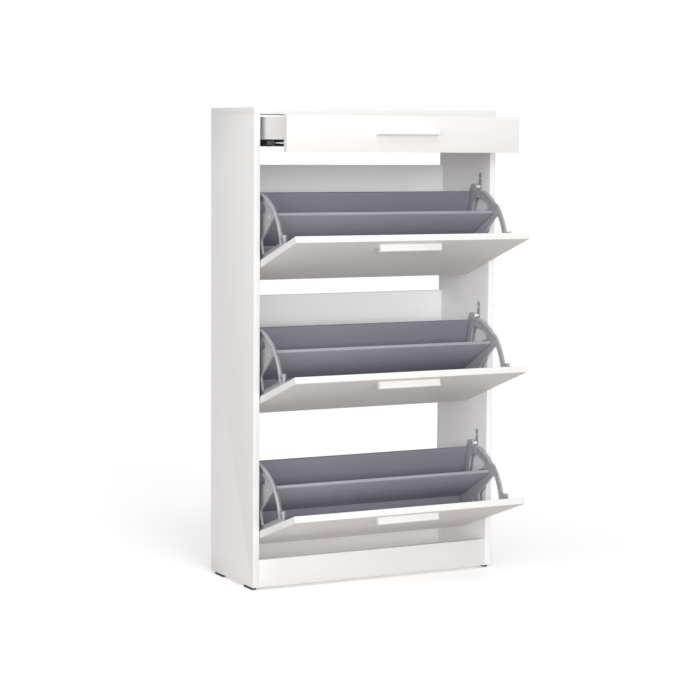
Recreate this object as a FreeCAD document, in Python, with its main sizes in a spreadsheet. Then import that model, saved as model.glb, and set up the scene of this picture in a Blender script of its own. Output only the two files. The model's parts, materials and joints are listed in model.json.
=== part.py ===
"""A narrow shoe cabinet with one drawer and three tip-out shoe bins, as a parametric FreeCAD document.

Frame: +X to the right, the front faces -Y, +Z up, millimetres. The floor is Z = 0, X = 0 is the middle
of the width, and Y = 0 is the middle of the depth that the cabinet takes with its bins tipped out.
Rest pose: the drawer is pulled out and the three bins are tipped forward onto their stops.
"""
import FreeCAD, Part
import math
import os

Vector = FreeCAD.Vector
Placement = FreeCAD.Placement
Rotation = FreeCAD.Rotation

os.makedirs("parts", exist_ok=True)
doc = FreeCAD.newDocument("shoe_cabinet")

# ---------------------------------------------------------------- driving dimensions
SIZES = [
    # carcass
    ("body_width", 630),
    ("body_depth", 236),
    ("board", 15),
    ("foot_height", 6.5),
    ("foot_length", 44),
    ("foot_width", 13),
    ("foot_front_inset", 10),
    ("foot_rear_inset", 20),
    ("plinth_height", 63.5),
    ("rail_height", 100),
    ("rail_below_flap_top", 30),
    ("rail_floor_gap", 8),
    # fronts and the gaps round them
    ("flap_height", 299),
    ("swing_gap", 8.5),
    ("side_gap", 2),
    ("drawer_gap", 2.5),
    ("drawer_front_height", 82),
    ("top_gap", 1.5),
    # carcass fastenings
    ("carcass_screw_radius", 2.5),
    ("carcass_screw_length", 50),
    ("screw_head_radius", 4.9),
    ("screw_head_height", 2.6),
    ("cap_thickness", 1.2),
    ("dowel_radius", 4),
    ("dowel_length", 30),
    ("dowel_in_panel", 9),
    ("dowel_edge", 25),
    ("cam_radius", 7.4),
    ("cam_depth", 12),
    ("cam_drop", 34),
    ("cam_bolt_radius", 3),
    ("cam_edge", 45),
    ("fit_clearance", 0.1),
    # tipping motion
    ("open_angle", 70.7),
    ("pivot_back", 46),
    ("pivot_up", 75),
    ("pivot_pin_radius", 5),
    ("running_clearance", 0.1),
    ("stop_pin_radius", 4),
    ("stop_clearance", 0.3),
    ("stop_lean", 1.6),
    ("base_plate", 2),
    ("base_plate_width", 26),
    ("base_plate_height", 40),
    ("stop_plate_width", 12),
    ("stop_plate_height", 38),
    # side brackets of a bin
    ("bracket_inset", 1),
    ("bracket_width", 11),
    ("web", 3),
    ("rim", 2.5),
    ("rim_width", 9),
    ("collar", 2),
    ("collar_width", 6),
    ("rim_radius", 141),
    ("rim_step", 3.5),
    ("rim_step_angle", 30),
    ("hook_radius", 153),
    ("hook_sweep", 6.5),
    ("boss_radius", 13),
    ("tab_top", 160),
    ("base_strip", 12),
    # boards of a bin, placed from the pivot
    ("bin_board", 7),
    ("valley_back", 24),
    ("valley_up", -44),
    ("rear_board_back", 130),
    ("rear_board_up", 28),
    ("divider_back", 52),
    ("divider_up", 108),
    ("floor_up", -62),
    ("bin_screw_radius", 1.75),
    ("bin_screw_length", 22),
    # handles
    ("handle_length", 156),
    ("handle_reach", 15.5),
    ("handle_height", 13.5),
    ("handle_lip", 10.5),
    ("handle_wall", 2),
    ("handle_round", 3),
    ("handle_below_flap_top", 25),
    ("handle_top_on_drawer", 51),
    ("handle_screw_pitch", 128),
    ("handle_screw_radius", 2),
    ("handle_boss_radius", 3.8),
    # drawer box and slides
    ("drawer_pull", 131),
    ("drawer_side", 12),
    ("drawer_side_height", 66),
    ("drawer_side_up", 11),
    ("drawer_length", 198),
    ("drawer_bottom", 3),
    ("groove_up", 20),
    ("groove_depth", 5),
    ("slide_thickness", 12.5),
    ("slide_height", 17),
    ("slide_wall", 1.2),
    ("slide_lip", 5.8),
    ("slide_length", 190),
    ("slide_middle_length", 165),
    ("slide_middle_setback", 19.5),
    ("slide_middle_height", 10.2),
    ("ball_radius", 1.05),
    ("ball_pitch", 12),
    ("fitting_screw_radius", 1.6),
    ("fitting_screw_length", 13),
    ("fitting_screw_head", 3),
]

sheet = doc.addObject("Spreadsheet::Sheet", "Sizes")
for row, (alias, number) in enumerate(SIZES, start=1):
    sheet.set(f"A{row}", alias)
    sheet.set(f"B{row}", str(number))
    sheet.setAlias(f"B{row}", alias)
doc.recompute()


def size(expression):
    """The number that an expression of the sheet's aliases comes to."""
    return float(sheet.evalExpression(expression))


def cell(alias):
    """The number in one cell."""
    return size(f"Sizes.{alias}")


# ---------------------------------------------------------------- derived sizes, as expressions
INNER_HALF = "(Sizes.body_width / 2 - Sizes.board)"
FRONT_HALF = f"({INNER_HALF} - Sizes.side_gap)"
BRACKET_OUTER = f"({FRONT_HALF} - Sizes.bracket_inset)"
BRACKET_INNER = f"({BRACKET_OUTER} - Sizes.bracket_width)"
FLAP_PITCH = "(Sizes.flap_height + Sizes.swing_gap)"
PLINTH_TOP = "(Sizes.foot_height + Sizes.plinth_height)"
DRAWER_BOTTOM = f"({PLINTH_TOP} + Sizes.swing_gap + 3 * {FLAP_PITCH} - Sizes.swing_gap + Sizes.drawer_gap)"
CARCASS_TOP = f"({DRAWER_BOTTOM} + Sizes.drawer_front_height + Sizes.top_gap)"
SIDE_HEIGHT = f"({CARCASS_TOP} - Sizes.foot_height)"
BOX_HALF = f"({INNER_HALF} - Sizes.slide_thickness)"
BOX_INNER_HALF = f"({BOX_HALF} - Sizes.drawer_side)"
SLIDE_LOW = f"({DRAWER_BOTTOM} + Sizes.drawer_side_up)"

open_angle = math.radians(cell("open_angle"))
top_above_pivot = cell("flap_height") - cell("pivot_up")
reach = top_above_pivot * math.sin(open_angle) - cell("pivot_back") * (1 - math.cos(open_angle))
front_y = (reach - cell("body_depth")) / 2

FLAPS = [("lower", 0), ("middle", 1), ("upper", 2)]
SIDES = [("left", -1), ("right", 1)]


def flap_bottom(level):
    """Height of a closed front's lower edge above the floor."""
    return size(f"{PLINTH_TOP} + Sizes.swing_gap + {level} * {FLAP_PITCH}")


CARCASS = Placement(Vector(0, front_y, 0), Rotation())
DRAWER = Placement(Vector(0, front_y - cell("drawer_pull"), size(DRAWER_BOTTOM)), Rotation())
SLIDE = Placement(Vector(0, front_y - cell("drawer_pull") / 2, size(DRAWER_BOTTOM)), Rotation())


def flap_carrier(level):
    """A bin's place at rest: its own frame is at the pivot, upright when closed, tipped when open."""
    pivot = Vector(0, front_y + cell("pivot_back"), flap_bottom(level) + cell("pivot_up"))
    return Placement(pivot, Rotation(Vector(1, 0, 0), cell("open_angle")))


# ---------------------------------------------------------------- building blocks
nodes = {}
AXIS_TURN = {
    "x": Rotation(Vector(0, 1, 0), 90),
    "y": Rotation(Vector(1, 0, 0), -90),
    "z": Rotation(),
}


def new_body(name, carrier):
    """An empty body that becomes one sub-part; it is moved to its carrier's place at the end."""
    body = doc.addObject("PartDesign::Body", name)
    body.Label = name
    nodes[name] = (body, carrier)
    return body


def bind(feature, **expressions):
    """Binds properties to expressions; _ stands for the dot of a sub-property."""
    for prop, expression in expressions.items():
        feature.setExpression(prop.replace("_", "."), str(expression))


def add_box(body, length, width, height, corner, cut=False):
    """A box with its low corner at `corner`, all of it bound to the sheet."""
    kind = "PartDesign::SubtractiveBox" if cut else "PartDesign::AdditiveBox"
    box = body.newObject(kind, "Cut" if cut else "Block")
    bind(box, Length=length, Width=width, Height=height)
    bind(box, Placement_Base_x=corner[0], Placement_Base_y=corner[1], Placement_Base_z=corner[2])
    return box


def add_rod(body, radius, length, start, axis, cut=False):
    """A cylinder that runs from `start` along +axis."""
    kind = "PartDesign::SubtractiveCylinder" if cut else "PartDesign::AdditiveCylinder"
    rod = body.newObject(kind, "Bore" if cut else "Boss")
    rod.Placement = Placement(Vector(), AXIS_TURN[axis])
    bind(rod, Radius=radius, Height=length)
    bind(rod, Placement_Base_x=start[0], Placement_Base_y=start[1], Placement_Base_z=start[2])
    return rod


def bore(body, radius, length, start, axis):
    """A hole; the same call as a boss, but it cuts."""
    return add_rod(body, radius, length, start, axis, cut=True)


def board(name, carrier, length, width, height, corner):
    """A plain board as a body of its own."""
    body = new_body(name, carrier)
    add_box(body, length, width, height, corner)
    return body


def edges_of(path):
    """Edges of a closed outline. A step is (y, z), or ((y, z), (y, z)): the middle and end of an arc."""
    def end_of(step):
        return step[1] if isinstance(step[0], tuple) else step

    edges = []
    start = end_of(path[-1])
    for step in path:
        here = Vector(start[0], start[1], 0)
        stop = end_of(step)
        there = Vector(stop[0], stop[1], 0)
        if isinstance(step[0], tuple):
            middle = Vector(step[0][0], step[0][1], 0)
            edges.append(Part.Arc(here, middle, there))
        else:
            edges.append(Part.LineSegment(here, there))
        start = stop
    return edges


def side_sketch(body, edges, offset):
    """A sketch in the body's YZ plane, moved along X by `offset`."""
    sketch = body.newObject("Sketcher::SketchObject", "Outline")
    plane = next(item for item in body.Origin.OriginFeatures if item.Role == "YZ_Plane")
    sketch.AttachmentSupport = [(plane, "")]
    sketch.MapMode = "FlatFace"
    bind(sketch, AttachmentOffset_Base_z=offset)
    for edge in edges:
        sketch.addGeometry(edge)
    return sketch


def pad_side(body, edges, offset, length, towards):
    """Pads a YZ outline along +X (towards = 1) or -X (towards = -1)."""
    pad = body.newObject("PartDesign::Pad", "Pad")
    pad.Profile = (side_sketch(body, edges, offset), [""])
    bind(pad, Length=length)
    pad.Reversed = towards < 0
    body.Tip = pad
    return pad


def pocket_side(body, edges, offset, length, towards):
    """Cuts a YZ outline along +X (towards = 1) or -X (towards = -1)."""
    doc.recompute()
    before = body.Shape.Volume
    pocket = body.newObject("PartDesign::Pocket", "Window")
    pocket.Profile = (side_sketch(body, edges, offset), [""])
    bind(pocket, Length=length)
    pocket.Reversed = towards > 0
    body.Tip = pocket
    doc.recompute()
    if body.Shape.Volume >= before - 1:
        raise RuntimeError(f"{body.Label}: a window cuts nothing")
    return pocket


def group(name, carrier, shapes):
    """Identical small pieces that share one sub-part, each a solid of its own."""
    feature = doc.addObject("Part::Feature", name)
    feature.Label = name
    feature.Shape = Part.Compound(shapes)
    nodes[name] = (feature, carrier)
    return feature


def rod_shape(radius, length, start, axis):
    """A plain cylinder from `start` along an axis vector."""
    return Part.makeCylinder(radius, length, Vector(*start), Vector(*axis))


def screw_shape(shank, length, head, head_height, seat, axis):
    """A screw whose head's underside is at `seat`; it points along `axis`."""
    back = Vector(*axis).multiply(-head_height)
    head_start = Vector(*seat).add(back)
    body = Part.makeCylinder(head, head_height, head_start, Vector(*axis))
    point_length = min(2 * shank, length / 2)
    stem = Part.makeCylinder(shank, length - point_length, Vector(*seat), Vector(*axis))
    tip_start = Vector(*seat).add(Vector(*axis).multiply(length - point_length))
    tip = Part.makeCone(shank, shank / 4, point_length, tip_start, Vector(*axis))
    return body.fuse([stem, tip]).removeSplitter()


low_head = 0.8


def handle_screw(seat):
    """A screw from the inside of a front into a handle's boss."""
    length = cell("board") + cell("handle_reach") - 3 * cell("handle_wall")
    return screw_shape(cell("handle_screw_radius"), length, 4.2, 2.2, seat, (0, -1, 0))


def bin_screw(length, seat, axis):
    """A small flat-headed wood screw."""
    return screw_shape(cell("bin_screw_radius"), length, 3, 1.5, seat, axis)


# ---------------------------------------------------------------- carcass
def rail_bottoms():
    """Lower edges of the three rear rails, by name."""
    behind_flap = cell("flap_height") - cell("rail_below_flap_top") - cell("rail_height")
    return {
        "lower": cell("foot_height") + cell("rail_floor_gap"),
        "middle": flap_bottom(1) + behind_flap,
        "upper": flap_bottom(2) + behind_flap,
    }


def carcass_joints():
    """Screw places (y, z) in a side: one into each rear rail's end and one into the plinth's."""
    rail_y = cell("body_depth") - cell("board") / 2
    places = [(rail_y, low + cell("rail_height") / 2) for low in rail_bottoms().values()]
    places.append((cell("board") / 2, cell("foot_height") + cell("plinth_height") / 2))
    return places


def dowel_joints():
    """Dowel places (y, z) in a side: a pair into each rear rail's end and a pair into the plinth's."""
    edge = cell("dowel_edge")
    half = cell("rail_height") / 2
    plinth_half = cell("plinth_height") / 2
    places = []
    for y, z in carcass_joints():
        spread = half - edge if y > cell("board") else plinth_half - edge / 2
        places += [(y, z - spread), (y, z + spread)]
    return places


def top_fastening():
    """Places (y) along a side's top edge: the cams, then the dowels beside them."""
    near = cell("cam_edge")
    far = cell("body_depth") - near
    return [near, far], [near - cell("dowel_edge"), far + cell("dowel_edge")]


def build_side(name, sign):
    """A full-height side with every hole that its fastenings need."""
    low_x = "Sizes.body_width / 2 - Sizes.board" if sign > 0 else "-Sizes.body_width / 2"
    corner = (low_x, 0, "Sizes.foot_height")
    body = board(name, CARCASS, "Sizes.board", "Sizes.body_depth", SIDE_HEIGHT, corner)
    inner = sign * size(INNER_HALF)
    outer = sign * cell("body_width") / 2
    head_depth = "(Sizes.screw_head_height + Sizes.cap_thickness + Sizes.fit_clearance)"
    for y, z in carcass_joints():
        low = min(inner, outer)
        bore(body, "Sizes.carcass_screw_radius + Sizes.fit_clearance", "Sizes.board", (low, y, z), "x")
        start = f"{outer} - {head_depth}" if sign > 0 else outer
        bore(body, "Sizes.screw_head_radius + Sizes.fit_clearance * 2", head_depth, (start, y, z), "x")
    dowel = "Sizes.dowel_radius + Sizes.fit_clearance"
    for y, z in dowel_joints():
        start = inner if sign > 0 else f"{inner} - Sizes.dowel_in_panel"
        bore(body, dowel, "Sizes.dowel_in_panel", (start, y, z), "x")
    middle = (inner + outer) / 2
    cams, dowels = top_fastening()
    for y in cams:
        start = inner if sign > 0 else f"{inner} - Sizes.cam_depth - Sizes.fit_clearance"
        bore(body, "Sizes.cam_radius + Sizes.fit_clearance", "Sizes.cam_depth + Sizes.fit_clearance",
             (start, y, f"{CARCASS_TOP} - Sizes.cam_drop"), "x")
        bore(body, "Sizes.cam_bolt_radius + 0.5", "Sizes.cam_drop",
             (middle, y, f"{CARCASS_TOP} - Sizes.cam_drop"), "z")
    for y in dowels:
        into_side = "(Sizes.dowel_length - Sizes.dowel_in_panel)"
        bore(body, dowel, into_side, (middle, y, f"{CARCASS_TOP} - {into_side}"), "z")
    pilot = "Sizes.fitting_screw_radius + Sizes.fit_clearance"
    depth = "Sizes.fitting_screw_length"
    for y, z in fitting_places() + slide_screw_places():
        start = inner if sign > 0 else f"{inner} - {depth}"
        bore(body, pilot, depth, (start, y, z), "x")


def build_rail(name, low, y, height):
    """A cross rail between the sides, bored in both ends for its screw and its dowels."""
    corner = (f"-{INNER_HALF}", y, low)
    body = board(name, CARCASS, f"2 * {INNER_HALF}", "Sizes.board", height, corner)
    top = low + size(height)
    into_rail = "Sizes.carcass_screw_length - Sizes.board + Sizes.screw_head_height + Sizes.cap_thickness"
    into_rail_dowel = "Sizes.dowel_length - Sizes.dowel_in_panel"
    fastenings = [(carcass_joints(), "Sizes.carcass_screw_radius", into_rail),
                  (dowel_joints(), "Sizes.dowel_radius", into_rail_dowel)]
    for places, radius, depth in fastenings:
        for hole_y, hole_z in places:
            if low < hole_z < top and y <= hole_y <= y + cell("board"):
                wide = f"{radius} + Sizes.fit_clearance"
                bore(body, wide, depth, (f"-{INNER_HALF}", hole_y, hole_z), "x")
                bore(body, wide, depth, (f"{INNER_HALF} - ({depth})", hole_y, hole_z), "x")


def build_top():
    """The top panel: it lies on the sides, flush all round, on dowels and cam bolts."""
    body = board("top_panel", CARCASS, "Sizes.body_width", "Sizes.body_depth", "Sizes.board",
                 ("-Sizes.body_width / 2", 0, CARCASS_TOP))
    cams, dowels = top_fastening()
    for sign in (-1, 1):
        middle = sign * (cell("body_width") - cell("board")) / 2
        for y in cams:
            bore(body, "Sizes.cam_bolt_radius + Sizes.fit_clearance", "Sizes.dowel_in_panel",
                 (middle, y, CARCASS_TOP), "z")
        for y in dowels:
            bore(body, "Sizes.dowel_radius + Sizes.fit_clearance", "Sizes.dowel_in_panel",
                 (middle, y, CARCASS_TOP), "z")


def build_feet():
    """Four glides under the sides, with their lower edges bevelled."""
    bevel = 2
    length, width, height = cell("foot_length"), cell("foot_width"), cell("foot_height")
    rear = cell("body_depth") - cell("foot_rear_inset") - length
    shapes = []
    for sign in (-1, 1):
        middle = sign * (cell("body_width") - cell("board")) / 2
        for y in (cell("foot_front_inset"), rear):
            glide = Part.makeBox(width, length, height, Vector(middle - width / 2, y, 0))
            low_edges = [edge for edge in glide.Edges if edge.BoundBox.ZMax < bevel]
            shapes.append(glide.makeChamfer(bevel, low_edges))
    group("foot_pads", CARCASS, shapes)


def build_carcass_fastenings():
    """Screws with caps, dowels, cams and cam bolts that hold the carcass together."""
    screws, caps, dowels = [], [], []
    half = cell("body_width") / 2
    seat = half - cell("cap_thickness") - cell("screw_head_height")
    end_gap = 0.4
    for sign in (-1, 1):
        for y, z in carcass_joints():
            screws.append(screw_shape(cell("carcass_screw_radius"), cell("carcass_screw_length") - 1,
                                      cell("screw_head_radius"), cell("screw_head_height"),
                                      (sign * seat, y, z), (-sign, 0, 0)))
            caps.append(rod_shape(cell("screw_head_radius") + cell("fit_clearance"), cell("cap_thickness"),
                                  (sign * half, y, z), (-sign, 0, 0)))
        for y, z in dowel_joints():
            start = sign * (size(INNER_HALF) + cell("dowel_in_panel"))
            dowels.append(rod_shape(cell("dowel_radius"), cell("dowel_length") - end_gap, (start, y, z),
                                    (-sign, 0, 0)))
    group("carcass_screws", CARCASS, screws)
    group("screw_caps", CARCASS, caps)
    group("rail_dowels", CARCASS, dowels)

    cams, bolts, top_dowels = [], [], []
    cam_places, dowel_places = top_fastening()
    for sign in (-1, 1):
        middle = sign * (cell("body_width") - cell("board")) / 2
        for y in cam_places:
            centre_z = size(CARCASS_TOP) - cell("cam_drop")
            cam = rod_shape(cell("cam_radius"), cell("cam_depth"), (sign * size(INNER_HALF), y, centre_z),
                            (sign, 0, 0))
            throat = rod_shape(cell("cam_bolt_radius") + 0.5, cell("cam_radius") + 1, (middle, y, centre_z),
                               (0, 0, 1))
            slot = Part.makeBox(3, 9, 1.4, Vector(sign * size(INNER_HALF) - 1.5, y - 4.5, centre_z - 0.7))
            cams.append(cam.cut([throat, slot]))
            length = cell("cam_drop") + cell("dowel_in_panel") - 1
            bolts.append(rod_shape(cell("cam_bolt_radius"), length, (middle, y, centre_z + 0.5), (0, 0, 1)))
        for y in dowel_places:
            low = size(CARCASS_TOP) - cell("dowel_length") + cell("dowel_in_panel")
            top_dowels.append(rod_shape(cell("dowel_radius"), cell("dowel_length") - end_gap,
                                        (middle, y, low + end_gap / 2), (0, 0, 1)))
    group("top_cams", CARCASS, cams)
    group("top_cam_bolts", CARCASS, bolts)
    group("top_dowels", CARCASS, top_dowels)


# ---------------------------------------------------------------- pivots and stops on the sides
def stop_radius():
    """Distance of a stop pin's middle from the pivot: the pin just clears the bracket's rim."""
    return cell("rim_radius") + cell("stop_clearance") + cell("stop_pin_radius")


def stop_place(level):
    """A stop pin's middle (y, z) on the side."""
    lean = math.radians(cell("stop_lean"))
    y = cell("pivot_back") - stop_radius() * math.sin(lean)
    z = flap_bottom(level) + cell("pivot_up") + stop_radius() * math.cos(lean)
    return y, z


def fitting_places():
    """Small screws (y, z) in a side: two in each pivot base and one in each stop bracket."""
    spread = cell("base_plate_height") / 2 - 6
    places = []
    for _, level in FLAPS:
        pivot_z = flap_bottom(level) + cell("pivot_up")
        places += [(cell("pivot_back"), pivot_z - spread), (cell("pivot_back"), pivot_z + spread)]
        stop_y, stop_z = stop_place(level)
        places.append((stop_y, stop_z + cell("stop_plate_height") - 18))
    return places


def slide_screw_places():
    """Small screws (y, z) in a side that hold the cabinet member of a drawer slide."""
    z = size(SLIDE_LOW) + cell("slide_height") / 2
    first = cell("board") + 25
    return [(first, z), (first + cell("slide_length") - 60, z)]


def plate_with_pin(plate, pin, holes):
    """A plate on a side's inner face with a pin standing on it, and screw holes through the plate."""
    shape = plate.fuse(pin).removeSplitter()
    return shape.cut(holes)


def build_pivots_and_stops():
    """Six pivot bases and six stop brackets, one pair for each bin and side, and their screws."""
    bases, stops, screws = [], [], []
    plate, inner = cell("base_plate"), size(INNER_HALF)
    pin_end = size(BRACKET_INNER) + 1
    hole = cell("fitting_screw_radius") + 0.3
    for _, sign in SIDES:
        into = (-sign, 0, 0)
        for _, level in FLAPS:
            pivot_z = flap_bottom(level) + cell("pivot_up")
            wide, high = cell("base_plate_width"), cell("base_plate_height")
            low_x = inner - plate if sign > 0 else -inner
            base = Part.makeBox(plate, wide, high,
                                Vector(low_x, cell("pivot_back") - wide / 2, pivot_z - high / 2))
            pin = rod_shape(cell("pivot_pin_radius"), inner - pin_end,
                            (sign * inner, cell("pivot_back"), pivot_z), into)
            spread = high / 2 - 6
            holes = [rod_shape(hole, plate + 2, (sign * (inner + 1), cell("pivot_back"), pivot_z + up), into)
                     for up in (-spread, spread)]
            bases.append(plate_with_pin(base, pin, holes))

            stop_y, stop_z = stop_place(level)
            wide, high = cell("stop_plate_width"), cell("stop_plate_height")
            low = stop_z - cell("stop_pin_radius") - 1
            strip = Part.makeBox(plate, wide, high, Vector(low_x, stop_y - wide / 2, low))
            pin = rod_shape(cell("stop_pin_radius"), inner - pin_end, (sign * inner, stop_y, stop_z), into)
            holes = [rod_shape(hole, plate + 2, (sign * (inner + 1), stop_y, stop_z + high - 18), into)]
            stops.append(plate_with_pin(strip, pin, holes))
        for y, z in fitting_places():
            screws.append(screw_shape(cell("fitting_screw_radius"), cell("fitting_screw_length") - 1,
                                      cell("fitting_screw_head"), low_head, (sign * (inner - plate), y, z),
                                      (sign, 0, 0)))
        for y, z in slide_screw_places():
            seat = sign * (inner - cell("slide_wall"))
            screws.append(screw_shape(cell("fitting_screw_radius"), cell("fitting_screw_length") - 1,
                                      cell("fitting_screw_head"), low_head, (seat, y, z), (sign, 0, 0)))
    group("pivot_bases", CARCASS, bases)
    group("stop_brackets", CARCASS, stops)
    group("fitting_screws", CARCASS, screws)


# ---------------------------------------------------------------- one tip-out bin
def polar(radius, degrees):
    """(y, z) in a bin's frame: `degrees` is counted from the flap's upward direction to its inside."""
    angle = math.radians(degrees)
    return (radius * math.sin(angle), radius * math.cos(angle))


def along(point, direction, distance):
    """The point at a distance along a unit direction."""
    return (point[0] + direction[0] * distance, point[1] + direction[1] * distance)


def unit(start, end):
    """Unit direction from one point to another."""
    span = math.hypot(end[0] - start[0], end[1] - start[1])
    return ((end[0] - start[0]) / span, (end[1] - start[1]) / span)


def bin_lines():
    """The bin's boards as lines in its frame: where the three faces meet, and each one's far end."""
    valley = (cell("valley_back"), cell("valley_up"))
    rear = (cell("rear_board_back"), cell("rear_board_up"))
    divider = (cell("divider_back"), cell("divider_up"))
    floor = (cell("board") - cell("pivot_back"), cell("floor_up"))
    return valley, rear, divider, floor


def hook_front_angle():
    """Angle of the hook's front face: it meets the stop pin when the bin is tipped out."""
    half_pin = cell("stop_pin_radius") + cell("stop_clearance")
    return cell("open_angle") - cell("stop_lean") + math.degrees(math.asin(half_pin / stop_radius()))


def tab_back():
    """Inner end of the tab at the rim's foot: it meets the stop pin when the bin is shut."""
    lean = math.radians(cell("stop_lean"))
    return -stop_radius() * math.sin(lean) - cell("stop_pin_radius") - cell("stop_clearance")


def on_rim(back):
    """The point of the rim's circle at a given depth."""
    return (back, math.sqrt(cell("rim_radius") ** 2 - back ** 2))


def bracket_outline():
    """Outline of the bracket's web: flap face, tab, stepped rim, hook, rear arm and foot."""
    face = cell("board") - cell("pivot_back")
    valley, rear, _, floor = bin_lines()
    rear_way = unit(valley, rear)
    behind = (rear_way[1], -rear_way[0])
    margin = cell("bin_board") + 1.5
    step = cell("rim_step_angle")
    low_radius = cell("rim_radius") - cell("rim_step")
    hook, sweep = hook_front_angle(), cell("hook_sweep")
    return [
        (face, floor[1] - margin),
        (face, cell("tab_top")),
        (tab_back(), cell("tab_top")),
        on_rim(tab_back()),
        (polar(cell("rim_radius"), step / 2), polar(cell("rim_radius"), step)),
        polar(low_radius, step + 1),
        (polar(low_radius, (step + 1 + hook) / 2), polar(low_radius, hook)),
        polar(cell("hook_radius") - 2, hook),
        (polar(cell("hook_radius"), hook + sweep / 2), polar(cell("hook_radius") - 2, hook + sweep)),
        along(along(rear, behind, margin), rear_way, 2),
        along(valley, behind, margin),
    ]


def rim_outline():
    """The flange that the stop pin runs along: a band under the web's curved edge."""
    step = cell("rim_step_angle")
    high, low, wall = cell("rim_radius"), cell("rim_radius") - cell("rim_step"), cell("rim")
    hook = hook_front_angle()
    in_tab = tab_back() - wall
    return [
        (in_tab, high - wall / 2),
        on_rim(tab_back()),
        (polar(high, step / 2), polar(high, step)),
        polar(low, step + 1),
        (polar(low, (step + 1 + hook) / 2), polar(low, hook)),
        polar(low - wall, hook),
        (polar(low - wall, (step + 1 + hook) / 2), polar(low - wall, step)),
        polar(high - wall, step - 1),
        (polar(high - wall, step / 2), polar(high - wall, -2)),
        (in_tab, high - wall * 1.2),
    ]


def hook_outline():
    """The hook at the rim's rear end."""
    hook, sweep = hook_front_angle(), cell("hook_sweep")
    low = cell("rim_radius") - cell("rim_step") - cell("rim")
    return [
        polar(low, hook),
        polar(cell("hook_radius") - 2, hook),
        (polar(cell("hook_radius"), hook + sweep / 2), polar(cell("hook_radius") - 2, hook + sweep)),
        polar(low, hook + sweep),
    ]


def rear_window(grow):
    """The D-shaped opening between the curved rim and the rear arm, grown by the collar's wall."""
    valley, rear, _, _ = bin_lines()
    rear_way = unit(valley, rear)
    ahead = (-rear_way[1], rear_way[0])
    radius = 119.5 + grow
    arm = along(rear, ahead, 16.5 - grow)
    low_arm = along(arm, rear_way, -75 - grow)
    high_arm = along(arm, rear_way, -17.5 + grow)
    return [
        low_arm,
        high_arm,
        (polar(radius, 57), polar(radius, 41 - grow / 2)),
        (polar(108 + grow / 2, 38 - grow / 2), (70 - grow, 80 + grow)),
    ]


def front_window(grow):
    """The three-sided opening between the rim, the flap and the diagonal arm."""
    radius = cell("rim_radius") - 10 + grow
    face = cell("board") - cell("pivot_back") + cell("base_strip") - grow
    return [
        (face, 38 - grow),
        (face, 128 + grow),
        (polar(radius, 5), polar(radius, 17)),
        (polar(radius - 3, 19), (42 + grow, 116)),
        (15 + grow, 39 - grow),
    ]


def build_bracket(name, carrier, sign):
    """A plastic side bracket: web, windows with collars, rim flange, hook, tab, base strip and boss."""
    body = new_body(name, carrier)
    inner = f"{sign} * {BRACKET_INNER}"
    pad_side(body, edges_of(bracket_outline()), inner, "Sizes.web", sign)
    pad_side(body, edges_of(rim_outline()), inner, "Sizes.rim_width", sign)
    pad_side(body, edges_of(hook_outline()), inner, "Sizes.rim_width", sign)
    for window in (rear_window, front_window):
        pad_side(body, edges_of(window(cell("collar"))), inner, "Sizes.collar_width", sign)
    for window in (rear_window, front_window):
        pocket_side(body, edges_of(window(0)), inner, "Sizes.bracket_width", sign)
    low_x = inner if sign > 0 else f"-{BRACKET_OUTER}"
    face = "Sizes.board - Sizes.pivot_back"
    foot = cell("floor_up") - cell("bin_board") - 1.5
    add_box(body, "Sizes.bracket_width", "Sizes.web", f"Sizes.tab_top - {foot}", (low_x, face, foot))
    tab_low = cell("rim_radius") - 4
    rim_x = inner if sign > 0 else f"-{BRACKET_INNER} - Sizes.rim_width"
    add_box(body, "Sizes.rim_width", f"{tab_back()} - ({face})", f"Sizes.tab_top - {tab_low}",
            (rim_x, face, tab_low))
    add_rod(body, "Sizes.boss_radius", "Sizes.bracket_width", (low_x, 0, 0), "x")
    bore(body, "Sizes.pivot_pin_radius + Sizes.running_clearance", "Sizes.bracket_width", (low_x, 0, 0), "x")
    for y, z in board_screw_places():
        web_x = low_x if sign > 0 else f"{inner} - Sizes.web"
        bore(body, "Sizes.bin_screw_radius + Sizes.fit_clearance", "Sizes.web", (web_x, y, z), "x")
    for z in bracket_screw_heights():
        x = f"{sign} * ({BRACKET_OUTER} - 4)"
        bore(body, "Sizes.bin_screw_radius + Sizes.fit_clearance", "Sizes.web", (x, face, z), "y")


def slab_outline(start, end, thickness, towards, back_off=0.0):
    """A board seen from its end: its near face runs from start to end."""
    way = unit(start, end)
    across = (way[1] * towards, -way[0] * towards)
    first = along(start, way, back_off)
    return [first, end, along(end, across, thickness), along(first, across, thickness)]


def bin_board_outlines():
    """Outlines of the rear board, the divider and the floor board; they meet without overlapping."""
    valley, rear, divider, floor = bin_lines()
    thick = cell("bin_board")
    divider_start = along(valley, unit(valley, divider), 2.5)
    floor_start = along(valley, unit(valley, floor), 0.2)
    return {
        "rear_board": slab_outline(along(valley, unit(valley, rear), 0.2), rear, thick, 1),
        "divider": slab_outline(divider_start, divider, thick, 1, back_off=thick * 1.1),
        "floor_board": slab_outline(floor_start, floor, thick, -1),
    }


def board_middles():
    """Two screw places (y, z) in each board's end, in the middle of its thickness."""
    places = {}
    for name, outline in bin_board_outlines().items():
        near = ((outline[0][0] + outline[3][0]) / 2, (outline[0][1] + outline[3][1]) / 2)
        far = ((outline[1][0] + outline[2][0]) / 2, (outline[1][1] + outline[2][1]) / 2)
        way = unit(near, far)
        places[name] = [along(near, way, 14), along(far, way, -14)]
    return places


def board_screw_places():
    """All the places where a web is screwed to the boards' ends."""
    return [place for places in board_middles().values() for place in places]


def bracket_screw_heights():
    """Heights of the screws that hold a bracket's base strip to the flap: the last is under the tab."""
    under_tab = cell("rim_radius") - 16
    return [-0.4 * cell("pivot_up"), 0.48 * under_tab, under_tab]


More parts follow.
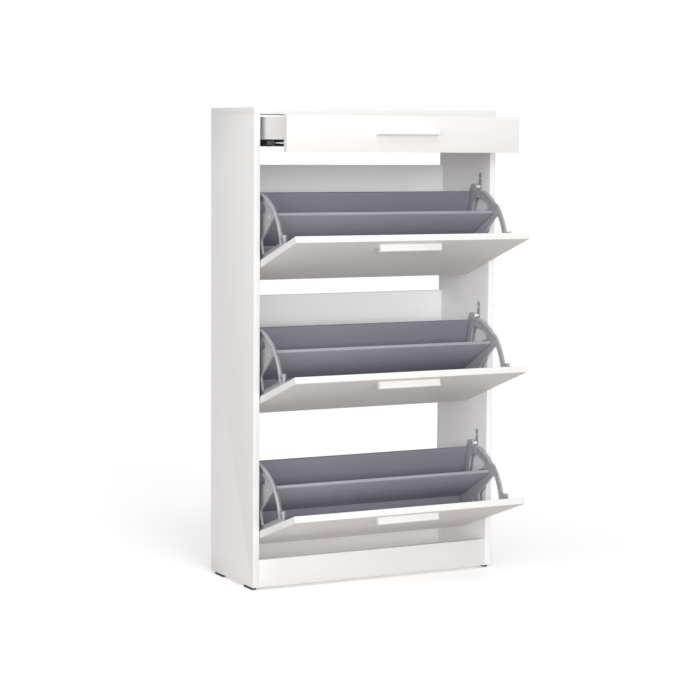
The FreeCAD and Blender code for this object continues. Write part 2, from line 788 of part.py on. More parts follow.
def build_bin_boards(prefix, carrier):
    """Three grey boards between the brackets: rear board, divider and floor board."""
    for name, outline in bin_board_outlines().items():
        body = new_body(f"{prefix}_{name}", carrier)
        pad_side(body, edges_of(outline), f"-{BRACKET_INNER}", f"2 * {BRACKET_INNER}", 1)
        for y, z in board_middles()[name]:
            depth = "Sizes.bin_screw_length"
            bore(body, "Sizes.bin_screw_radius + Sizes.fit_clearance", depth, (f"-{BRACKET_INNER}", y, z), "x")
            bore(body, "Sizes.bin_screw_radius + Sizes.fit_clearance", depth,
                 (f"{BRACKET_INNER} - {depth}", y, z), "x")


def handle_places():
    """Middles (x) of a handle's two screws."""
    return [-cell("handle_screw_pitch") / 2, cell("handle_screw_pitch") / 2]


def build_handle(name, carrier, face_y, top_z):
    """A shell pull: back plate, top and lip, walled at both ends, with two screw bosses inside."""
    body = new_body(name, carrier)
    reach_out, high, lip = cell("handle_reach"), cell("handle_height"), cell("handle_lip")
    wall, turn = cell("handle_wall"), cell("handle_round")
    out = face_y - reach_out
    bend = turn * (1 - math.sqrt(0.5))
    section = [
        (face_y, top_z),
        (out + turn, top_z),
        ((out + bend, top_z - bend), (out, top_z - turn)),
        (out, top_z - lip),
        (out + wall, top_z - lip),
        (out + wall, top_z - wall),
        (face_y - wall, top_z - wall),
        (face_y - wall, top_z - high),
        (face_y, top_z - high),
    ]
    end = [
        (face_y, top_z),
        (out + turn, top_z),
        ((out + bend, top_z - bend), (out, top_z - turn)),
        (out, top_z - lip),
        (face_y - wall, top_z - high),
        (face_y, top_z - high),
    ]
    pad_side(body, edges_of(section), "-Sizes.handle_length / 2", "Sizes.handle_length", 1)
    pad_side(body, edges_of(end), "-Sizes.handle_length / 2", "Sizes.handle_wall", 1)
    pad_side(body, edges_of(end), "Sizes.handle_length / 2", "Sizes.handle_wall", -1)
    middle_z = top_z - high / 2
    for x in handle_places():
        add_rod(body, "Sizes.handle_boss_radius", "Sizes.handle_reach - Sizes.handle_wall / 2",
                (x, out + wall / 2, middle_z), "y")
        bore(body, "Sizes.handle_screw_radius + Sizes.fit_clearance",
             "Sizes.handle_reach - 2 * Sizes.handle_wall", (x, out + 2 * wall, middle_z), "y")
    return middle_z


def build_flap(prefix, carrier):
    """A bin: front panel, handle, two brackets, three boards and all their screws."""
    face = -cell("pivot_back")
    panel = board(f"{prefix}_panel", carrier, f"2 * {FRONT_HALF}", "Sizes.board", "Sizes.flap_height",
                  (f"-{FRONT_HALF}", "-Sizes.pivot_back", "-Sizes.pivot_up"))
    handle_top = size("Sizes.flap_height - Sizes.pivot_up - Sizes.handle_below_flap_top")
    middle_z = build_handle(f"{prefix}_handle", carrier, face, handle_top)
    for side, sign in SIDES:
        build_bracket(f"{prefix}_bracket_{side}", carrier, sign)
    build_bin_boards(prefix, carrier)

    screws = []
    inner_face = face + cell("board")
    for x in handle_places():
        bore(panel, "Sizes.handle_screw_radius + Sizes.fit_clearance", "Sizes.board", (x, face, middle_z), "y")
        screws.append(handle_screw((x, inner_face, middle_z)))
    pilot_depth = "Sizes.fitting_screw_length"
    for _, sign in SIDES:
        x = sign * (size(BRACKET_OUTER) - 4)
        for z in bracket_screw_heights():
            bore(panel, "Sizes.bin_screw_radius + Sizes.fit_clearance", pilot_depth,
                 (x, f"{inner_face} - {pilot_depth}", z), "y")
            length = cell("web") + cell("fitting_screw_length") - 1
            screws.append(bin_screw(length, (x, inner_face + cell("web"), z), (0, -1, 0)))
        seat = sign * (size(BRACKET_INNER) + cell("web"))
        for y, z in board_screw_places():
            screws.append(bin_screw(cell("web") + cell("bin_screw_length") - 1, (seat, y, z), (-sign, 0, 0)))
    group(f"{prefix}_screws", carrier, screws)


# ---------------------------------------------------------------- drawer
def side_x(sign, near, far):
    """Low X of a piece that lies between two distances from a side's inner face."""
    return f"{INNER_HALF} - {far}" if sign > 0 else f"-{INNER_HALF} + {near}"


def build_drawer():
    """The drawer box with an inset front, its grooved bottom panel, its handle and its screws."""
    front = board("drawer_front", DRAWER, f"2 * {FRONT_HALF}", "Sizes.board", "Sizes.drawer_front_height",
                  (f"-{FRONT_HALF}", 0, 0))
    middle_z = build_handle("drawer_handle", DRAWER, 0.0, cell("handle_top_on_drawer"))
    groove_z = "Sizes.drawer_side_up + Sizes.groove_up - Sizes.fit_clearance"
    groove_height = "Sizes.drawer_bottom + 2 * Sizes.fit_clearance"
    screws = []
    slide_z = cell("drawer_side_up") + cell("slide_height") / 2
    box_screw_z = [cell("drawer_side_up") + 36, cell("drawer_side_up") + 58]
    rear_y = cell("board") + cell("drawer_length") - cell("drawer_side") / 2
    for side, sign in SIDES:
        low_x = f"{BOX_HALF} - Sizes.drawer_side" if sign > 0 else f"-{BOX_HALF}"
        body = board(f"drawer_side_{side}", DRAWER, "Sizes.drawer_side", "Sizes.drawer_length",
                     "Sizes.drawer_side_height", (low_x, "Sizes.board", "Sizes.drawer_side_up"))
        groove_x = f"{BOX_INNER_HALF} - 1" if sign > 0 else f"-{BOX_INNER_HALF} - Sizes.groove_depth"
        add_box(body, "Sizes.groove_depth + 1", "Sizes.drawer_length", groove_height,
                (groove_x, "Sizes.board", groove_z), cut=True)
        for z in box_screw_z:
            bore(body, "Sizes.bin_screw_radius + Sizes.fit_clearance", "Sizes.drawer_side",
                 (low_x, rear_y, z), "x")
            length = cell("drawer_side") + cell("bin_screw_length") - 4
            screws.append(bin_screw(length, (sign * size(BOX_HALF), rear_y, z), (-sign, 0, 0)))
        for y in drawer_slide_screw_places():
            bore(body, "Sizes.fitting_screw_radius + Sizes.fit_clearance", "Sizes.drawer_side - 1",
                 (f"{low_x} + 1" if sign > 0 else low_x, y, slide_z), "x")
            seat = sign * (size(BOX_HALF) + cell("slide_wall"))
            screws.append(screw_shape(cell("fitting_screw_radius"), cell("drawer_side") - 1,
                                      cell("fitting_screw_head"), low_head, (seat, y, slide_z), (-sign, 0, 0)))
    back = board("drawer_back", DRAWER, f"2 * {BOX_INNER_HALF}", "Sizes.drawer_side",
                 "Sizes.drawer_side_height - Sizes.groove_up - Sizes.drawer_bottom - Sizes.fit_clearance",
                 (f"-{BOX_INNER_HALF}", "Sizes.board + Sizes.drawer_length - Sizes.drawer_side",
                  "Sizes.drawer_side_up + Sizes.groove_up + Sizes.drawer_bottom + Sizes.fit_clearance"))
    for z in box_screw_z:
        for x in (f"-{BOX_INNER_HALF}", f"{BOX_INNER_HALF} - Sizes.bin_screw_length"):
            bore(back, "Sizes.bin_screw_radius + Sizes.fit_clearance", "Sizes.bin_screw_length",
                 (x, rear_y, z), "x")
    board("drawer_bottom", DRAWER, f"2 * ({BOX_INNER_HALF} + Sizes.groove_depth - Sizes.fit_clearance)",
          "Sizes.drawer_length", "Sizes.drawer_bottom",
          (f"-{BOX_INNER_HALF} - Sizes.groove_depth + Sizes.fit_clearance", "Sizes.board",
           "Sizes.drawer_side_up + Sizes.groove_up"))
    for x in handle_places():
        bore(front, "Sizes.handle_screw_radius + Sizes.fit_clearance", "Sizes.board", (x, 0, middle_z), "y")
        screws.append(handle_screw((x, cell("board"), middle_z)))
    group("drawer_screws", DRAWER, screws)


def drawer_slide_screw_places():
    """Places (y) of the screws that hold the drawer member of a slide."""
    return [cell("board") + 20, cell("board") + cell("slide_length") - 20]


def build_slides():
    """Two full-extension slides: cabinet member, ball-carrying middle member and drawer member."""
    wall, lip = "Sizes.slide_wall", "Sizes.slide_lip"
    low = "Sizes.drawer_side_up"
    middle_low = f"{low} + (Sizes.slide_height - Sizes.slide_middle_height) / 2"
    for side, sign in SIDES:
        outer = new_body(f"slide_outer_{side}", CARCASS)
        strip_x = side_x(sign, "0", wall)
        corner = (strip_x, "Sizes.board + 1", SLIDE_LOW)
        add_box(outer, wall, "Sizes.slide_length", "Sizes.slide_height", corner)
        for z in (SLIDE_LOW, f"{SLIDE_LOW} + Sizes.slide_height - {wall}"):
            lip_x = side_x(sign, "0", lip)
            add_box(outer, lip, "Sizes.slide_length", wall, (lip_x, "Sizes.board + 1", z))
        for y, z in slide_screw_places():
            bore(outer, "Sizes.fitting_screw_radius + 0.2", wall, (strip_x, y, z), "x")

        inner = new_body(f"slide_inner_{side}", DRAWER)
        thick = "Sizes.slide_thickness"
        strip_x = side_x(sign, f"{thick} - {wall}", thick)
        add_box(inner, wall, "Sizes.slide_length", "Sizes.slide_height", (strip_x, "Sizes.board", low))
        for z in (low, f"{low} + Sizes.slide_height - {wall}"):
            lip_x = side_x(sign, f"{thick} - {lip}", thick)
            add_box(inner, lip, "Sizes.slide_length", wall, (lip_x, "Sizes.board", z))
        slide_z = cell("drawer_side_up") + cell("slide_height") / 2
        for y in drawer_slide_screw_places():
            bore(inner, "Sizes.fitting_screw_radius + 0.2", wall, (strip_x, y, slide_z), "x")

        middle = new_body(f"slide_middle_{side}", SLIDE)
        near, far = f"(2 * {wall})", f"({thick} - 2 * {wall})"
        start = "Sizes.slide_middle_setback"
        length = "Sizes.slide_middle_length"
        add_box(middle, f"{far} - {near}", length, wall, (side_x(sign, near, far), start, middle_low))
        add_box(middle, f"{far} - {near}", length, wall,
                (side_x(sign, near, far), start, f"{middle_low} + Sizes.slide_middle_height - {wall}"))
        web_near, web_far = f"({thick} / 2 - {wall})", f"({thick} / 2 + {wall})"
        add_box(middle, f"2 * {wall}", length, "Sizes.slide_middle_height",
                (side_x(sign, web_near, web_far), start, middle_low))

        balls = []
        gap = (cell("slide_height") / 2 - cell("slide_wall") + cell("slide_middle_height") / 2) / 2
        centre_z = cell("drawer_side_up") + cell("slide_height") / 2
        count = int((cell("slide_middle_length") - 20) / cell("ball_pitch"))
        for across in (cell("slide_wall") * 3, cell("slide_thickness") - cell("slide_wall") * 3):
            x = sign * (size(INNER_HALF) - across)
            for index in range(count):
                y = cell("slide_middle_setback") + 10 + index * cell("ball_pitch")
                for z in (centre_z - gap, centre_z + gap):
                    balls.append(Part.makeSphere(cell("ball_radius") - 0.03, Vector(x, y, z)))
        group(f"slide_balls_{side}", SLIDE, balls)


# ---------------------------------------------------------------- assembly
for side_name, side_sign in SIDES:
    build_side(f"side_{side_name}", side_sign)
build_rail("plinth", cell("foot_height"), 0.0, "Sizes.plinth_height")
for rail_name, rail_low in rail_bottoms().items():
    build_rail(f"back_rail_{rail_name}", rail_low, size("Sizes.body_depth - Sizes.board"), "Sizes.rail_height")
build_top()
build_feet()
build_carcass_fastenings()
build_pivots_and_stops()
build_drawer()
build_slides()
for flap_name, flap_level in FLAPS:
    build_flap(f"flap_{flap_name}", flap_carrier(flap_level))

doc.recompute()
for name, (feature, carrier) in nodes.items():
    feature.Placement = carrier.multiply(feature.Placement)
doc.recompute()

# ---------------------------------------------------------------- check, then write
for item in doc.Objects:
    if "Invalid" in item.State or "Error" in item.State:
        raise RuntimeError(f"{item.Name} failed: {item.State}")
for name, (feature, _) in nodes.items():
    if feature.Shape.isNull() or not feature.Shape.isValid():
        raise RuntimeError(f"{name} has no valid shape")
for name, (feature, _) in nodes.items():
    feature.Shape.exportStep(f"parts/{name}.step")
print(len(nodes), "sub-parts written")
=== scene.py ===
# %% [markdown]
# # A shoe cabinet with a drawer and three tip-out bins
#
# The cabinet is flat-pack furniture: white boards with glued edge banding, grey boards and moulded grey
# brackets in the bins, and a few metal fittings. The engineering model is loaded first, as a fixed frame.
# Each piece that shows is then made again with the detail that its maker would put on it, and rides on the
# part of the frame that it belongs to, so drawer and bins can still move.

# %% Load the frame
import json
import math

import bmesh
import bpy
from mathutils import Matrix, Vector


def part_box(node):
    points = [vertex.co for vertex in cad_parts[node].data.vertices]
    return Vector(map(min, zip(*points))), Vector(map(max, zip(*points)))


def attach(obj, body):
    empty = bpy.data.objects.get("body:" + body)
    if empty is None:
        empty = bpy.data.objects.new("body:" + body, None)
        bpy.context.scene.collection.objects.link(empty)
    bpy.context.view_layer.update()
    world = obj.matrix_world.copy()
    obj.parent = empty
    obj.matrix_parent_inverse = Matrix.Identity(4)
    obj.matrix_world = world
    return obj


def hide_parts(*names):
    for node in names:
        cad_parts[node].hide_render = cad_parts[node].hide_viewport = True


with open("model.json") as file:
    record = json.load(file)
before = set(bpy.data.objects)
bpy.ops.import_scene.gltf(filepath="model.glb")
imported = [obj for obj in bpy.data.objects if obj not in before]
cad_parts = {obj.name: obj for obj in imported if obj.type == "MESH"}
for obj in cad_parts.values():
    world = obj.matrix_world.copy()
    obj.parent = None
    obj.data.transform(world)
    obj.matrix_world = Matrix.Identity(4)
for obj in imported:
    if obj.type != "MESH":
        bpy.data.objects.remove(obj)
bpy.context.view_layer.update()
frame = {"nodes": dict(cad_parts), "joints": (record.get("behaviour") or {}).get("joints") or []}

MM = 0.001
LEVELS = ("upper", "middle", "lower")

# %% [markdown]
# ## Shader arithmetic
#
# A finish is a small sum: a colour, plus a little noise, times a mask. Nodes wired by hand hide that sum,
# so one small class stands for a socket and gives it the usual operators. Numbers alone never reach a
# node: Python works them out.


# %% A socket with operators
class Flow:
    """The output of a node, and the wiring that it belongs to."""

    def __init__(self, wiring, socket):
        self.wiring = wiring
        self.socket = socket

    def math(self, operation, *values):
        return self.wiring.node("Math", {"operation": operation}, dict(enumerate(values)))

    def __add__(self, other):
        return self.math("ADD", self, other)

    def __sub__(self, other):
        return self.math("SUBTRACT", self, other)

    def __rsub__(self, other):
        return self.math("SUBTRACT", other, self)

    def __mul__(self, other):
        return self.math("MULTIPLY", self, other)

    __radd__ = __add__
    __rmul__ = __mul__


# %% The one way to add a node
class Wiring:
    """A tree of nodes."""

    def __init__(self, tree):
        self.tree = tree

    def node(self, kind, settings=None, values=None, out=0):
        """Any node: its settings first, then the values or links of its sockets."""
        made = self.tree.nodes.new("ShaderNode" + kind)
        for setting, value in (settings or {}).items():
            if setting == "stops":
                self.set_stops(made.color_ramp.elements, value)
            else:
                setattr(made, setting, value)
        for socket, value in (values or {}).items():
            self.feed(made.inputs[socket], value)
        return Flow(self, made.outputs[out]) if made.outputs else None

    def set_stops(self, elements, stops):
        while len(elements) < len(stops):
            elements.new(1.0)
        for element, (position, shade) in zip(elements, stops):
            element.position = position
            element.color = (shade, shade, shade, 1.0)

    def feed(self, socket, value):
        if isinstance(value, Flow):
            self.tree.links.new(value.socket, socket)
        else:
            socket.default_value = value

    def mixed(self, amount, first, second):
        """A colour between two others; each is a flow or three numbers."""
        first, second = (c if isinstance(c, Flow) else (*c, 1.0) for c in (first, second))
        return self.node("Mix", {"data_type": "RGBA"}, {"Factor": amount, 6: first, 7: second}, out=2)


# %% A paint: one material and its principled shader
class Paint(Wiring):
    """A material made of constants on its shader and flows into it."""

    def __init__(self, name, **constants):
        self.material = bpy.data.materials.new(name)
        self.material.use_nodes = True
        super().__init__(self.material.node_tree)
        self.tree.nodes.clear()
        values = {socket.replace("_", " "): value for socket, value in constants.items()}
        shaded = self.node("BsdfPrincipled", {}, values)
        self.node("OutputMaterial", {}, {"Surface": shaded})
        self.inputs = shaded.socket.node.inputs
        self.place = self.node("TexCoord", out="Object")

    def noise(self, scale, detail=2.0, stretch=(1.0, 1.0, 1.0), roughness=0.5):
        """Noise in the piece's own metres; stretch above 1 squeezes it along that axis."""
        where = self.node("Mapping", {}, {"Vector": self.place, "Scale": stretch})
        values = {"Vector": where, "Scale": scale, "Detail": detail, "Roughness": roughness}
        return self.node("TexNoise", {}, values)

    def mask(self, flow, low, high):
        """0 below low, 1 above high."""
        return self.node("ValToRGB", {"stops": ((low, 0.0), (high, 1.0))}, {"Fac": flow})

    def finish(self, colour, roughness, height=None, relief=0.00002, strength=0.3):
        """Sends the flows to the shader; height becomes a bump of that relief in metres."""
        self.feed(self.inputs["Base Color"], colour)
        self.feed(self.inputs["Roughness"], roughness)
        if height is not None:
            bump = self.node("Bump", {}, {"Strength": strength, "Distance": relief, "Height": height})
            self.feed(self.inputs["Normal"], bump)
        return self.material


# %% [markdown]
# ## Board finishes
#
# The white boards are chipboard pressed with a melamine foil. The foil has a very fine pearl that breaks up
# its gloss, and on a big panel the pressing leaves slow waves in it. The banding on the edges is thicker
# plastic, slightly smoother, and the glue line beside it collects a trace of dirt. The back rails and the
# right side get the same foil painted a shade whiter: painted light, for the light that reaches inside the
# cabinet.
# The bins' thin boards have a grey foil with a faint grain along their length.


# %% White foil, banding, glue line and raw chipboard
def white_foil(name, tone, gloss=0.52, pearl_scale=1400.0):
    paint = Paint(name, Specular_IOR_Level=0.25)
    pearl = paint.noise(pearl_scale, detail=3.0, roughness=0.6)
    waves = paint.noise(5.0, detail=2.0)
    handled = paint.mask(paint.noise(22.0, detail=5.0, roughness=0.65), 0.56, 0.80)
    darker, lighter = [c * 0.985 for c in tone], [c * 1.015 for c in tone]
    colour = paint.mixed(waves * 0.4 + pearl * 0.6, darker, lighter)
    rough = pearl * 0.10 + waves * 0.06 + handled * 0.07 + (gloss - 0.08)
    return paint.finish(colour, rough, pearl * 0.8 + waves * 3.0, relief=0.00003, strength=0.25)


def glue_line():
    paint = Paint("glue line")
    grime = paint.mask(paint.noise(60.0, detail=4.0), 0.35, 0.75)
    return paint.finish(paint.mixed(grime, (0.66, 0.66, 0.65), (0.50, 0.49, 0.47)), grime * 0.2 + 0.5)


def raw_chipboard():
    paint = Paint("raw chipboard")
    chips = paint.noise(420.0, detail=4.0, stretch=(1.0, 1.0, 2.0), roughness=0.7)
    colour = paint.mixed(paint.mask(chips, 0.35, 0.7), (0.30, 0.20, 0.12), (0.62, 0.48, 0.32))
    return paint.finish(colour, chips * 0.2 + 0.75, chips, relief=0.0004, strength=0.8)


WHITE = (0.80, 0.80, 0.79)
foil = white_foil("white melamine foil", WHITE)
# The same white foil painted a shade lighter: painted light on the back rails and the right side.
painted_light_foil = white_foil("white melamine foil, painted lighter", (0.90, 0.90, 0.905))
banding = white_foil("white edge banding", (0.82, 0.82, 0.815), gloss=0.45, pearl_scale=2200.0)
glue = glue_line()
chipboard = raw_chipboard()
print("board paints:", foil.name, banding.name, glue.name, chipboard.name)


# %% Grey bin boards
def thin_board_foil(name, tone, grain):
    paint = Paint(name, Specular_IOR_Level=0.35)
    streaks = paint.noise(90.0, detail=5.0, stretch=(0.06, 1.0, 1.0), roughness=0.6)
    fleck = paint.noise(900.0, detail=2.0, stretch=(0.25, 1.0, 1.0))
    waves = paint.noise(6.0, detail=2.0)
    amount = streaks * 0.5 + fleck * 0.3 + waves * 0.2
    colour = paint.mixed(amount, [c * (1.0 - grain) for c in tone], [c * (1.0 + grain) for c in tone])
    rough = fleck * 0.12 + streaks * 0.08 + 0.42
    return paint.finish(colour, rough, fleck + streaks, relief=0.00004, strength=0.3)


grey_foil = thin_board_foil("grey board foil", (0.240, 0.232, 0.268), 0.16)
divider_foil = thin_board_foil("grey divider foil", (0.365, 0.355, 0.405), 0.14)
grey_banding = thin_board_foil("grey board banding", (0.53, 0.525, 0.535), 0.06)
dark_banding = thin_board_foil("dark board banding", (0.075, 0.072, 0.075), 0.10)
lavender_foil = thin_board_foil("pale lavender board foil", (0.33, 0.33, 0.375), 0.08)
print("bin boards:", grey_foil.name, divider_foil.name, lavender_foil.name)

# %% [markdown]
# ## Plastics and metals
#
# The brackets, stops and pivots are moulded in grey plastic with a spark-eroded texture, so they are matt,
# and their rubbed edges are a little shinier. The handles are glossier white plastic. The drawer slides are
# rolled steel strip: zinc plated on the outer members, dark on the one between them, with black plastic
# cages and levers that hardly shine.


# %% Plastics
def moulded(name, tone, gloss, texture=2600.0, depth=0.00002):
    paint = Paint(name, Specular_IOR_Level=0.5)
    sparks = paint.noise(texture, detail=3.0, roughness=0.65)
    flow_marks = paint.noise(14.0, detail=3.0)
    worn = paint.mask(paint.noise(45.0, detail=5.0, roughness=0.7), 0.58, 0.78)
    colour = paint.mixed(flow_marks * 0.7 + sparks * 0.3, [c * 0.95 for c in tone], [c * 1.04 for c in tone])
    rough = sparks * 0.12 + flow_marks * 0.05 - worn * 0.1 + (gloss - 0.04)
    return paint.finish(colour, rough, sparks, relief=depth, strength=0.35)


bracket_plastic = moulded("grey bracket plastic", (0.40, 0.41, 0.43), 0.42)
fitting_plastic = moulded("grey fitting plastic", (0.30, 0.30, 0.32), 0.45)
roller_plastic = moulded("white roller plastic", (0.80, 0.80, 0.80), 0.35)
handle_plastic = moulded("white handle plastic", (0.88, 0.88, 0.88), 0.26, texture=3500.0, depth=0.00001)
glide_plastic = moulded("black glide plastic", (0.03, 0.03, 0.032), 0.5)
cap_plastic = moulded("white cap plastic", (0.80, 0.80, 0.80), 0.4)
print("plastics ready")


# %% Metals and wood
def metal(name, tone, gloss, brushed, metallic=1.0, spots=0.0, shine=0.5):
    paint = Paint(name, Metallic=metallic, Specular_IOR_Level=shine)
    drawn = paint.noise(700.0, detail=4.0, stretch=brushed, roughness=0.6)
    crystals = paint.noise(260.0, detail=2.0)
    dull = paint.mask(paint.noise(35.0, detail=5.0, roughness=0.7), 0.5, 0.8)
    colour = paint.mixed(dull * 0.7 + crystals * 0.3, tone, [c * (0.86 - spots) for c in tone])
    return paint.finish(colour, drawn * 0.16 + dull * 0.12 + gloss, drawn, relief=0.00002, strength=0.3)


def beech():
    paint = Paint("beech dowel")
    grain = paint.noise(300.0, detail=4.0, stretch=(0.1, 1.0, 1.0))
    pores = paint.mask(paint.noise(1100.0, detail=1.0, stretch=(0.15, 1.0, 1.0)), 0.62, 0.7)
    colour = paint.mixed(grain * 0.7 + pores * 0.3, (0.66, 0.48, 0.30), (0.44, 0.29, 0.16))
    return paint.finish(colour, grain * 0.15 + 0.6, pores, relief=0.0001, strength=0.4)


ROLLED, EVEN = (1.0, 0.05, 1.0), (1.0, 1.0, 1.0)
slide_steel = metal("zinc plated slide steel", (0.92, 0.92, 0.93), 0.26, ROLLED, metallic=0.3)
dark_steel = metal("dark phosphated slide steel", (0.10, 0.10, 0.105), 0.40, ROLLED, metallic=0.5)
slide_black = metal("black slide coating", (0.006, 0.006, 0.006), 0.55, ROLLED, metallic=0.0, shine=0.08)
screw_steel = metal("zinc plated screw steel", (0.70, 0.70, 0.72), 0.28, EVEN, spots=0.1)
cast_zinc = metal("die-cast zinc", (0.55, 0.55, 0.57), 0.40, EVEN, spots=0.15)
ball_steel = metal("polished ball steel", (0.80, 0.80, 0.82), 0.08, EVEN)
dowel_wood = beech()
print("metals and wood ready")

# %% [markdown]
# ## Making and shaping meshes
#
# Three ways of making cover nearly everything here. A board is a box with eased edges. A moulding or a
# rolled strip is made of outlines pushed along one axis and then softened, the way a mould maker rounds
# each edge with a small cutter. A screw is a profile turned about its axis. Every piece stays in metres,
# and the outlines are written in millimetres because that is how such parts are drawn.


# %% Outlines
ROUNDING_STEPS, MOST_OF_A_GAP = 6, 0.45


def turning(before, here, after):
    """The angle by which a path turns at a point."""
    first = (Vector(here) - Vector(before)).normalized()
    second = (Vector(after) - Vector(here)).normalized()
    return math.acos(max(-1.0, min(1.0, first.dot(second))))


def eased(path, reach, sharp=math.radians(22)):
    """A closed path whose corners are rounded; each rounding starts `reach` before its corner."""
    count = len(path)
    spans = [math.dist(path[i], path[(i + 1) % count]) for i in range(count)]
    starts = [sum(spans[:i]) for i in range(count)]
    total = sum(spans)
    corners = [i for i in range(count)
               if turning(path[i - 1], path[i], path[(i + 1) % count]) > sharp]

    def at(distance):
        distance %= total
        index = max(i for i in range(count) if starts[i] <= distance + 1e-9)
        share = (distance - starts[index]) / spans[index]
        return Vector(path[index]).lerp(Vector(path[(index + 1) % count]), share)

    done = []
    for order, corner in enumerate(corners):
        following = corners[(order + 1) % len(corners)]
        gap_after = (starts[following] - starts[corner]) % total or total
        gap_before = (starts[corner] - starts[corners[order - 1]]) % total or total
        near, far = min(reach, gap_before * MOST_OF_A_GAP), min(reach, gap_after * MOST_OF_A_GAP)
        first, middle, last = at(starts[corner] - near), Vector(path[corner]), at(starts[corner] + far)
        for step in range(ROUNDING_STEPS + 1):
            share = step / ROUNDING_STEPS
            done.append(first.lerp(middle, share).lerp(middle.lerp(last, share), share))
        inside = sorted(((starts[i] - starts[corner]) % total, i) for i in range(count))
        done += [Vector(path[i]) for distance, i in inside if far < distance < gap_after - far]
    return [(point.x, point.y) for point in done]


def grown(path, distance):
    """A closed path moved outwards; its points must run the same way round as they were given."""
    area = sum(a[0] * b[1] - b[0] * a[1] for a, b in zip(path, path[1:] + path[:1]))
    sign = distance if area > 0 else -distance
    moved = []
    for i, here in enumerate(path):
        way = (Vector(path[(i + 1) % len(path)]) - Vector(path[i - 1])).normalized()
        moved.append((here[0] + way.y * sign, here[1] - way.x * sign))
    return moved


def polar(radius, degrees):
    """A point at an angle that runs from +v towards +u."""
    angle = math.radians(degrees)
    return (radius * math.sin(angle), radius * math.cos(angle))


def arc(radius, first, last, steps=14):
    """Points of an arc about the origin."""
    return [polar(radius, first + (last - first) * i / steps) for i in range(steps + 1)]


def oblong(low_u, low_v, high_u, high_v):
    return [(low_u, low_v), (high_u, low_v), (high_u, high_v), (low_u, high_v)]


def ring_of_points(radius, count, u=0.0, v=0.0):
    angles = [2 * math.pi * i / count for i in range(count)]
    return [(u + radius * math.cos(a), v + radius * math.sin(a)) for a in angles]


print("an eased square has", len(eased(oblong(0, 0, 10, 10), 2)), "points")

# %% Solids from outlines
ALONG_X = Matrix(((0, 0, 1), (1, 0, 0), (0, 1, 0))).to_4x4()
ALONG_Y = Matrix(((1, 0, 0), (0, 0, 1), (0, 1, 0))).to_4x4()
FLAT_BELOW, SOFT_ABOVE = math.radians(0.6), math.radians(34.0)


def mesh_from(bm, name):
    bmesh.ops.recalc_face_normals(bm, faces=bm.faces[:])
    mesh = bpy.data.meshes.new(name)
    bm.to_mesh(mesh)
    bm.free()
    return mesh


def pushed(outline, low, high, holes=(), way=ALONG_X):
    """A solid: an outline in millimetres, pushed along one axis from low to high."""
    bm = bmesh.new()
    edges = []
    for loop in (outline, *holes):
        ring = [bm.verts.new((u * MM, v * MM, low * MM)) for u, v in loop]
        edges += [bm.edges.new(pair) for pair in zip(ring, ring[1:] + ring[:1])]
    bmesh.ops.triangle_fill(bm, use_beauty=True, use_dissolve=False, edges=edges)
    made = bmesh.ops.extrude_face_region(bm, geom=bm.faces[:])
    top = [item for item in made["geom"] if isinstance(item, bmesh.types.BMVert)]
    bmesh.ops.translate(bm, verts=top, vec=(0, 0, (high - low) * MM))
    bm.transform(way)
    return mesh_from(bm, "pushed")


def turned(profile, start, axis, segments=24, slot=0):
    """A solid turned about an axis: profile is a list of (distance along it, radius) in millimetres."""
    bm = bmesh.new()
    rings = []
    for distance, radius in profile:
        angles = [2 * math.pi * i / segments for i in range(segments)]
        rings.append([bm.verts.new((radius * math.cos(a) * MM, radius * math.sin(a) * MM, distance * MM))
                      for a in angles])
    for first, second in zip(rings, rings[1:]):
        for i in range(segments):
            j = (i + 1) % segments
            bm.faces.new((first[i], first[j], second[j], second[i]))
    bm.faces.new(rings[0])
    bm.faces.new(rings[-1])
    turn = Vector((0, 0, 1)).rotation_difference(Vector(axis)).to_matrix().to_4x4()
    bm.transform(Matrix.Translation(Vector(start) * MM) @ turn)
    for face in bm.faces:
        face.material_index = slot
    return mesh_from(bm, "turned")


def put_together(meshes, places=None):
    """Several meshes in one, each moved to its own place."""
    bm = bmesh.new()
    for index, mesh in enumerate(meshes):
        copy = mesh.copy()
        if places:
            copy.transform(places[index])
        bm.from_mesh(copy)
        bpy.data.meshes.remove(copy)
    return mesh_from(bm, "together")


def evaluated(obj):
    depsgraph = bpy.context.evaluated_depsgraph_get()
    depsgraph.update()
    return bpy.data.meshes.new_from_object(obj.evaluated_get(depsgraph))


def carved(mesh, tools, operation="DIFFERENCE"):
    """Cuts the tools out of a mesh, or joins them to it."""
    objects = [bpy.data.objects.new("carving", each) for each in (mesh, *tools)]
    for obj in objects:
        bpy.context.scene.collection.objects.link(obj)
    for tool in objects[1:]:
        modifier = objects[0].modifiers.new("Carve", "BOOLEAN")
        modifier.operation = operation
        modifier.solver = "EXACT"
        modifier.use_self = operation == "UNION"
        modifier.object = tool
    result = evaluated(objects[0])
    for obj in objects:
        bpy.data.objects.remove(obj)
    return result


def softened(mesh, width, segments=2):
    """Merges flat neighbours, then rounds every edge sharper than SOFT_ABOVE; width is in millimetres."""
    bm = bmesh.new()
    bm.from_mesh(mesh)
    bmesh.ops.remove_doubles(bm, verts=bm.verts[:], dist=0.004 * MM)
    bmesh.ops.dissolve_limit(bm, angle_limit=FLAT_BELOW, verts=bm.verts[:], edges=bm.edges[:])
    bm.to_mesh(mesh)
    bm.free()
    obj = bpy.data.objects.new("softening", mesh)
    bpy.context.scene.collection.objects.link(obj)
    modifier = obj.modifiers.new("Soften", "BEVEL")
    modifier.width = width * MM
    modifier.segments = segments
    modifier.limit_method = "ANGLE"
    modifier.angle_limit = SOFT_ABOVE
    modifier.miter_outer = "MITER_ARC"
    result = evaluated(obj)
    bpy.data.objects.remove(obj)
    return result


print("tools ready")

# %% [markdown]
# ## Where things go
#
# Every position comes from the frame. A joint gives a bin's pivot and how far it is tipped, so a bin can be
# drawn upright about its pivot and then placed. A board's own directions come from its largest face. A
# group of fasteners is split into its separate bodies, and each gives one place.


